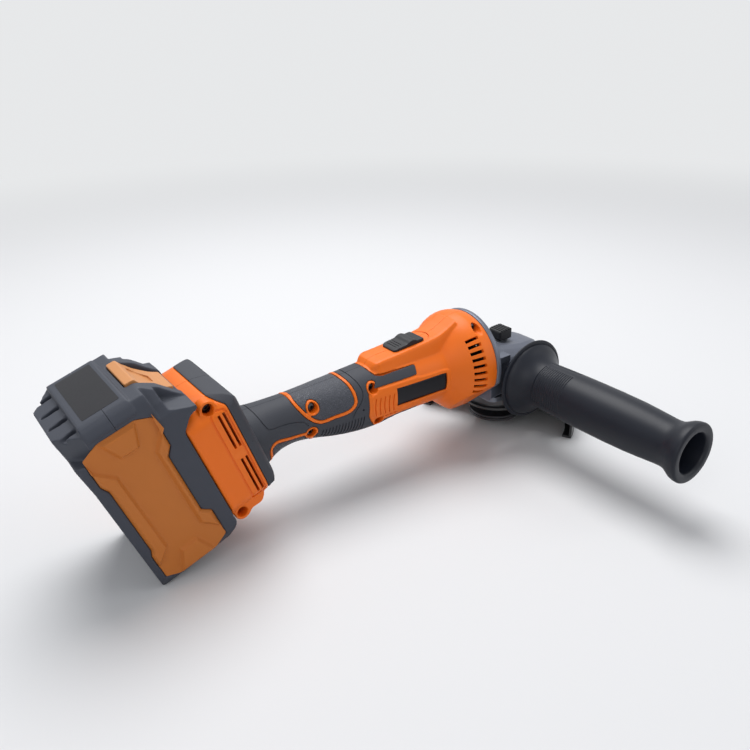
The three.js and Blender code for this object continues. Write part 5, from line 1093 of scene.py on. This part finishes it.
band = lathe([(-44.3, 23.1), (-44.3, 24.7), (-43.9, 25.1), (-37.7, 25.1), (-37.3, 24.7), (-37.3, 23.1)],
             count=120, closed=True)
ears = prism(eased(oblong(24.2, 34.9, -4.5, 4.5), 1.2), "xy", -44.3, -37.3)
band = cut(joined(band, ears), block(22.5, 60, -1.2, 1.2, -60, -20), rod("y", 2.2, -20, 20, CLAMP_SCREW, 24),
           rod("z", 23.1, -60, -20, count=120))
clamp_screw = joined(lathe([(-7.4, 0), (-7.4, 2.9), (-7.1, 3.2), (-4.8, 3.2), (-4.8, 0)], "y", CLAMP_SCREW, 48),
                     rod("y", 1.9, -5, 6.5, CLAMP_SCREW, 32))
clamp_screw = cut(clamp_screw, lathe([(-8, 0), (-8, 1.6), (-5.6, 1.5), (-5.6, 0)], "y", CLAMP_SCREW, 6))
for piece in (band, clamp_screw):
    swung(piece, CLAMP_AT, "Z")
clamp_steel = skinned("phosphated steel", (0.10, 0.10, 0.105), (0.25, 0.25, 0.25), 0.4, 1400, 0.03, 0.35,
                      metallic=0.8)
fitted(band, "guard_clamp", "guard", clamp_steel, ["guard_clamp_band"], crisp=30)
fitted(clamp_screw, "clamp_cap_screw", "guard", black_oxide, ["guard_clamp_screw"], crisp=30)

# ---------------------------------------------------------------- Side handle
# Hollow handle moulded in black nylon round an M8 stud: a wide flange guards the hand, fine
# rings on three faces give grip, and the end flares into a rounded rim.
HANDLE_TURN = 30
GROOVE_DEPTH, GROOVE_PITCH = 0.42, 1.95
GROOVE_FIRST, GROOVE_LAST = 58, 86


def grooves(along, angle, radius):
    reach = -along
    face = (math.degrees(angle) + HANDLE_TURN) % 120
    if not GROOVE_FIRST <= reach <= GROOVE_LAST or not 9 <= face <= 111:
        return radius
    return radius - GROOVE_DEPTH * max(0, math.cos(2 * math.pi * (reach - GROOVE_FIRST) / GROOVE_PITCH)) ** 0.7


handle_line = [(35.4, 10), (35.8, 11.6), (37, 12), (37.2, 14), (37.6, 28.6), (38.6, 31.2), (39.0, 32.2),
               *[(39.9 + 0.9 * math.sin(a), 31.9 + 0.9 * math.cos(a)) for a in np.linspace(-0.9, 1.5, 7)],
               (41.1, 31.2), (41.15, 30.6), (40.8, 30.4), (40.8, 29.9), (41.4, 29.7), (42.2, 29.4), (43.6, 28.6),
               (45.6, 26.2), (48, 23.9), (50.4, 22.1), (53, 20.7), (55.5, 19.7), (57.4, 19.2)]
steps = np.arange(57.8, 86.4, 0.28)
handle_line += [(d, r) for d, r in zip(steps, np.interp(steps, [57.8, 72, 86.4], [19.1, 19.45, 19.7]))]
handle_line += [(90, 19.75), (104, 19.8), (122, 19.7), (141, 19.2), (152, 18.5), (161, 17.8), (166, 17.4),
                (170, 17.3), (173.5, 17.7), (176.2, 18.8), (178.6, 20.2), (181, 21.5), (183.4, 22.2), (185.4, 22.4),
                *[(185.9 + 2.1 * math.sin(a), 20.3 + 2.1 * math.cos(a)) for a in np.linspace(0.2, 1.5, 7)],
                (188, 17.4), (187.6, 16.2), (186.8, 15.4), (185.4, 15.1), (150, 14.5), (128, 14), (126, 12.6),
                (126, 0)]
handle = lathe([(-d, r) for d, r in [(35.4, 0), *handle_line]], "y", (0, HANDLE_Z), 216, shape=grooves)
handle = cut(handle, rod("y", 4.3, -71.6, 0, (0, HANDLE_Z), 40))
handle_nylon = skinned("soft black handle nylon", (0.008, 0.010, 0.017), (0.045, 0.047, 0.056), 0.38, 900, 0.02, 0.22,
                       specular=0.28)
fitted(handle, "side_handle_moulding", "side_handle", handle_nylon, ["side_handle_grip"], crisp=40)

# ---------------------------------------------------------------- Battery pack
# Two charcoal nylon shells screwed round ten cells. Facets and notches break up the rear corners,
# a raised block carries the bare label, and the front ramps down beside the release latch.
PACK_SEAM = 1.4
LATCH_DROP = 3.5
PACK_WALL = 3.6
PACK_SIDE = [(-29.6, 63), (-27, 28), (-26.3, -57.3), (-22.6, -60), (24.7, -56), (30.7, -51.5), (32.7, -48),
             (32.7, 30.6), (40.6, 38.9), (46.1, 39.6), (46.1, 44.8), (41.5, 49.6), (34.4, 59), (24.7, 66),
             (-13.5, 67.2), (-27.5, 66.2)]
PACK_END = [(-38, 60), (-38, -51), (-35, -58), (-29, -62), (29, -62), (35, -58), (38, -51), (38, 60), (36, 65),
            (32, 69), (-32, 69), (-36, 65)]
PACK_PLAN = [(-23.6, -38), (60, -38), (60, 38), (-23.6, 38), (-28, 36), (-30.6, 30), (-30.6, -30), (-28, -36)]
LATCH = [(19.5, 67.4), (25.5, 67.2), (27.5, 63.2), (32, 57), (39, 50.3), (44.4, 46.9), (43, 45), (38, 47.4),
         (30.5, 54.5), (26, 60), (23, 63), (19.5, 63.4)]
PANEL = [(-22.75, 51.4), (-11.5, 56.4), (12.2, 56.4), (21.9, 51.4), (22.2, 28.9), (17.9, 23.2), (17.9, -23),
         (23.1, -28), (23.5, -51), (13.5, -56), (-12.7, -56), (-22, -51), (-22, -30.5), (-20.2, -26.7),
         (-20.2, 25.1), (-22.7, 30.7)]


def shoulders(grow):
    wedges = []
    for side in (-1, 1):
        wedge = [(25, 90), (25, 66), (34, 55), (39, 45), (58, 45), (58, 90)]
        wedges.append(prism([(side * y, z) for y, z in offset(wedge, grow)], "yz", 24 - grow, 80))
    return wedges


def pack_form(grow):
    side = prism(eased(offset(PACK_SIDE, grow), 2.2), "xz", -80, 80)
    end = prism(eased(offset(PACK_END, grow), 2.2), "yz", -60, 80)
    plan = prism(eased(offset(PACK_PLAN, grow), 2.2), "xy", -90, 90)
    return cut(overlap(side, end, plan), *shoulders(-grow))


def latch_pocket(wall):
    floor = [(w, h - LATCH_DROP) for w, h in LATCH[6:-1]]
    line = [(19, 90), (60, 90), (60, floor[0][1]), *floor, (19, LATCH[11][1] - LATCH_DROP)]
    return prism(offset(line, wall), "xz", -17.5 - wall, 17.5 + wall)


# Rear facets: the corners and the shelf round the label block, then four notches beside it.
shelf = prism([(-40, 62.6), (-15.2, 64.2), (-15.2, 80), (-40, 80)], "xz", -50, 50)
corner_cuts = [prism([(-40, side * 12), (-28.6, side * 21), (-15.5, side * 37), (-15.5, side * 60), (-40, side * 60)],
                     "xy", 48, 90) for side in (-1, 1)]
notches = [loft([[(x, y - low, floor_at), (x, y + low, floor_at), (x, y + high, 72), (x, y - high, 72)]
                 for x, floor_at, low, high in ((-27.5, 61.6, 1.2, 2.2), (-15.6, 58.6, 2.2, 3.0))])
           for y in (-26, -8.5, 8.5, 26)]
label_block = prism(eased(oblong(-14.5, 15.5, -39.0, 39.0), 1.5), "xy", 59.5, 68)
label_block = overlap(label_block, prism(eased([(-39, 40), (-39, 60.5), (-36.2, 65.2), (-32.4, 68), (32.4, 68),
                                                (36.2, 65.2), (39, 60.5), (39, 40)], 1.5), "yz", -40, 40))
finger_pockets = [loft([[(x, side * 25, 90), (x, side * 60, 90), (x, side * 60, low), (x, side * 25, low + rise)]
                        for x, low, rise in ((31.0, 45.5, 6), (50, 41.8, 0.5))]) for side in (-1, 1)]
outside = joined(cut(pack_form(0), shelf, *corner_cuts, *notches), label_block)
outside = cut(outside, *finger_pockets)
room = cut(pack_form(-PACK_WALL), latch_pocket(2.4), block(-60, 60, -60, 60, 56, 90),
           block(-60, -11, -60, -8, 44, 90), block(-60, -11, 8, 60, 44, 90),
           block(25, 60, -60, -23, 34, 90), block(25, 60, 23, 60, 34, 90))
panel_beds = [prism(eased(PANEL, 1.2), "xz", *beside(side, 36.1, 60)) for side in (-1, 1)]
terminal_room = block(20, 31.5, -TERMINAL_HALF, TERMINAL_HALF, -32.5, -9)
case_shell = cut(outside, room, latch_pocket(0), *panel_beds, terminal_room)
case_shell = moulded(case_shell, voxel=0.62, soften=4, limit=330000)
tongue = joined(block(27, 39.8, -RAIL_NECK, RAIL_NECK, RAIL_BOTTOM, 33),
                block(36.5, 39.8, -RAIL_HEAD, RAIL_HEAD, RAIL_BOTTOM, 36))
tongue = cut(tongue, *[block(29, 45, y - 1, y + 1, -60, -10) for y in (-7, 0, 7)],
             block(20, 31.6, -TERMINAL_HALF, TERMINAL_HALF, -32.5, -9))
case_shell = joined(case_shell, tongue)
pack_charcoal = skinned("charcoal pack nylon", (0.043, 0.048, 0.064), (0.10, 0.11, 0.135), 0.5, 1200, 0.05, 0.14,
                        specular=0.35)
rear_shell = overlap(twin(case_shell), block(-90, PACK_SEAM - 0.12, -90, 90, -90, 90))
front_shell = overlap(case_shell, block(PACK_SEAM + 0.12, 90, -90, 90, -90, 90))
for piece, name, node in ((rear_shell, "pack_shell_rear", "battery_case_back"),
                          (front_shell, "pack_shell_front", "battery_case_front")):
    piece.data.transform(UPRIGHT)
    fitted(piece, name, "battery", pack_charcoal, [node], crisp=50)

# Side panels in a duller orange, with raised facets at both ends and along both edges.
pack_amber = skinned("burnt orange nylon", (0.50, 0.150, 0.020), (0.60, 0.24, 0.07), 0.44, 1300, 0.04, 0.10,
                     specular=0.35)
FACETS = [[(-11.5, 55.4), (-5.2, 39.5), (7.3, 39.3), (12.2, 55.1)],
          [(-5.9, -38.6), (6.6, -38.6), (12.9, -54.9), (-12.7, -54.9)],
          [(-22.4, 50.9), (-20.9, 42.6), (-11.5, 31.4), (-10.5, -31), (-21.6, -41.5), (-21.7, -31), (-20, -26.7),
           (-20, 25.1), (-22.4, 30.7)],
          [(21.6, 50.9), (21.9, 42.6), (12.5, 31), (12.5, -31), (22.8, -43.6), (22.8, -28.2), (17.7, -23),
           (17.7, 23.2), (21.9, 28.9)]]
PANEL_FIELD, PANEL_CROWN = 37.1, 39.5


def raised(outline, side, slope):
    """A flat field standing proud of the panel, with sloping edges."""
    return loft([[(w, side * level, h) for w, h in offset(outline, -inset)]
                 for level, inset in ((PANEL_FIELD - 0.4, 0), (PANEL_FIELD, 0), (PANEL_CROWN, slope))])


sides = []
for side in (-1, 1):
    slab = prism(eased(offset(PANEL, -0.35), 1.0), "xz", *beside(side, 36.4, PANEL_FIELD))
    panel = joined(slab, *[raised(facet, side, 1.9) for facet in FACETS])
    sides.append(moulded(panel, voxel=0.35, soften=1, limit=50000))
for side, piece in zip(("right", "left"), sides):
    piece.data.transform(UPRIGHT)
    fitted(piece, f"pack_side_panel_{side}", "battery", pack_amber, [f"battery_side_panel_{side}"],
           crisp=32)

# Release latch: a flat strip behind, then a wedge with a scoop for the thumb, narrowing to its tip.
latch_plan = mirrored([(19.5, -17), (26, -17), (31, -16.2), (37, -14.4), (44.4, -12.3)], by=1)
latch = overlap(prism(eased(LATCH, 0.8), "xz", -30, 30), prism(eased(latch_plan, 1), "xy", 0, 90))
scoop = loft([[(x, -half, low), (x, half, low), (x, half + 1, 70), (x, -half - 1, 70)]
              for x, half, low in ((27.8, 11, 60.7), (36.2, 4.5, 50.8))])
latch = moulded(cut(latch, scoop), voxel=0.35, soften=2, limit=30000)
latch_amber = skinned("dull amber nylon", (0.56, 0.235, 0.075), (0.70, 0.34, 0.14), 0.42, 1300, 0.04, 0.10)
latch.data.transform(UPRIGHT)
fitted(latch, "pack_release_latch", "battery_latch", latch_amber, ["battery_latch"], crisp=50)

label = prism(eased(oblong(-10.5, 12.6, -28.5, 28.5), 1.2), "xy", 67.6, 68.12)
label.data.transform(UPRIGHT)
fitted(label, "pack_label_plate", "battery", plate_film, crisp=30)

# Cells in blue shrink wrap, and the controller behind the foot's contacts, as the CAD has them.
cell_wrap = skinned("blue shrink wrap", (0.03, 0.12, 0.25), (0.10, 0.22, 0.36), 0.25, 500, 0.02, 0.15, coat=0.3)
board_green = skinned("green solder mask", (0.012, 0.10, 0.035), (0.30, 0.26, 0.12), 0.3, 700, 0.02, 0.4, coat=0.2)
dressed(cell_wrap, "cell_pack")
dressed(board_green, "control_board")
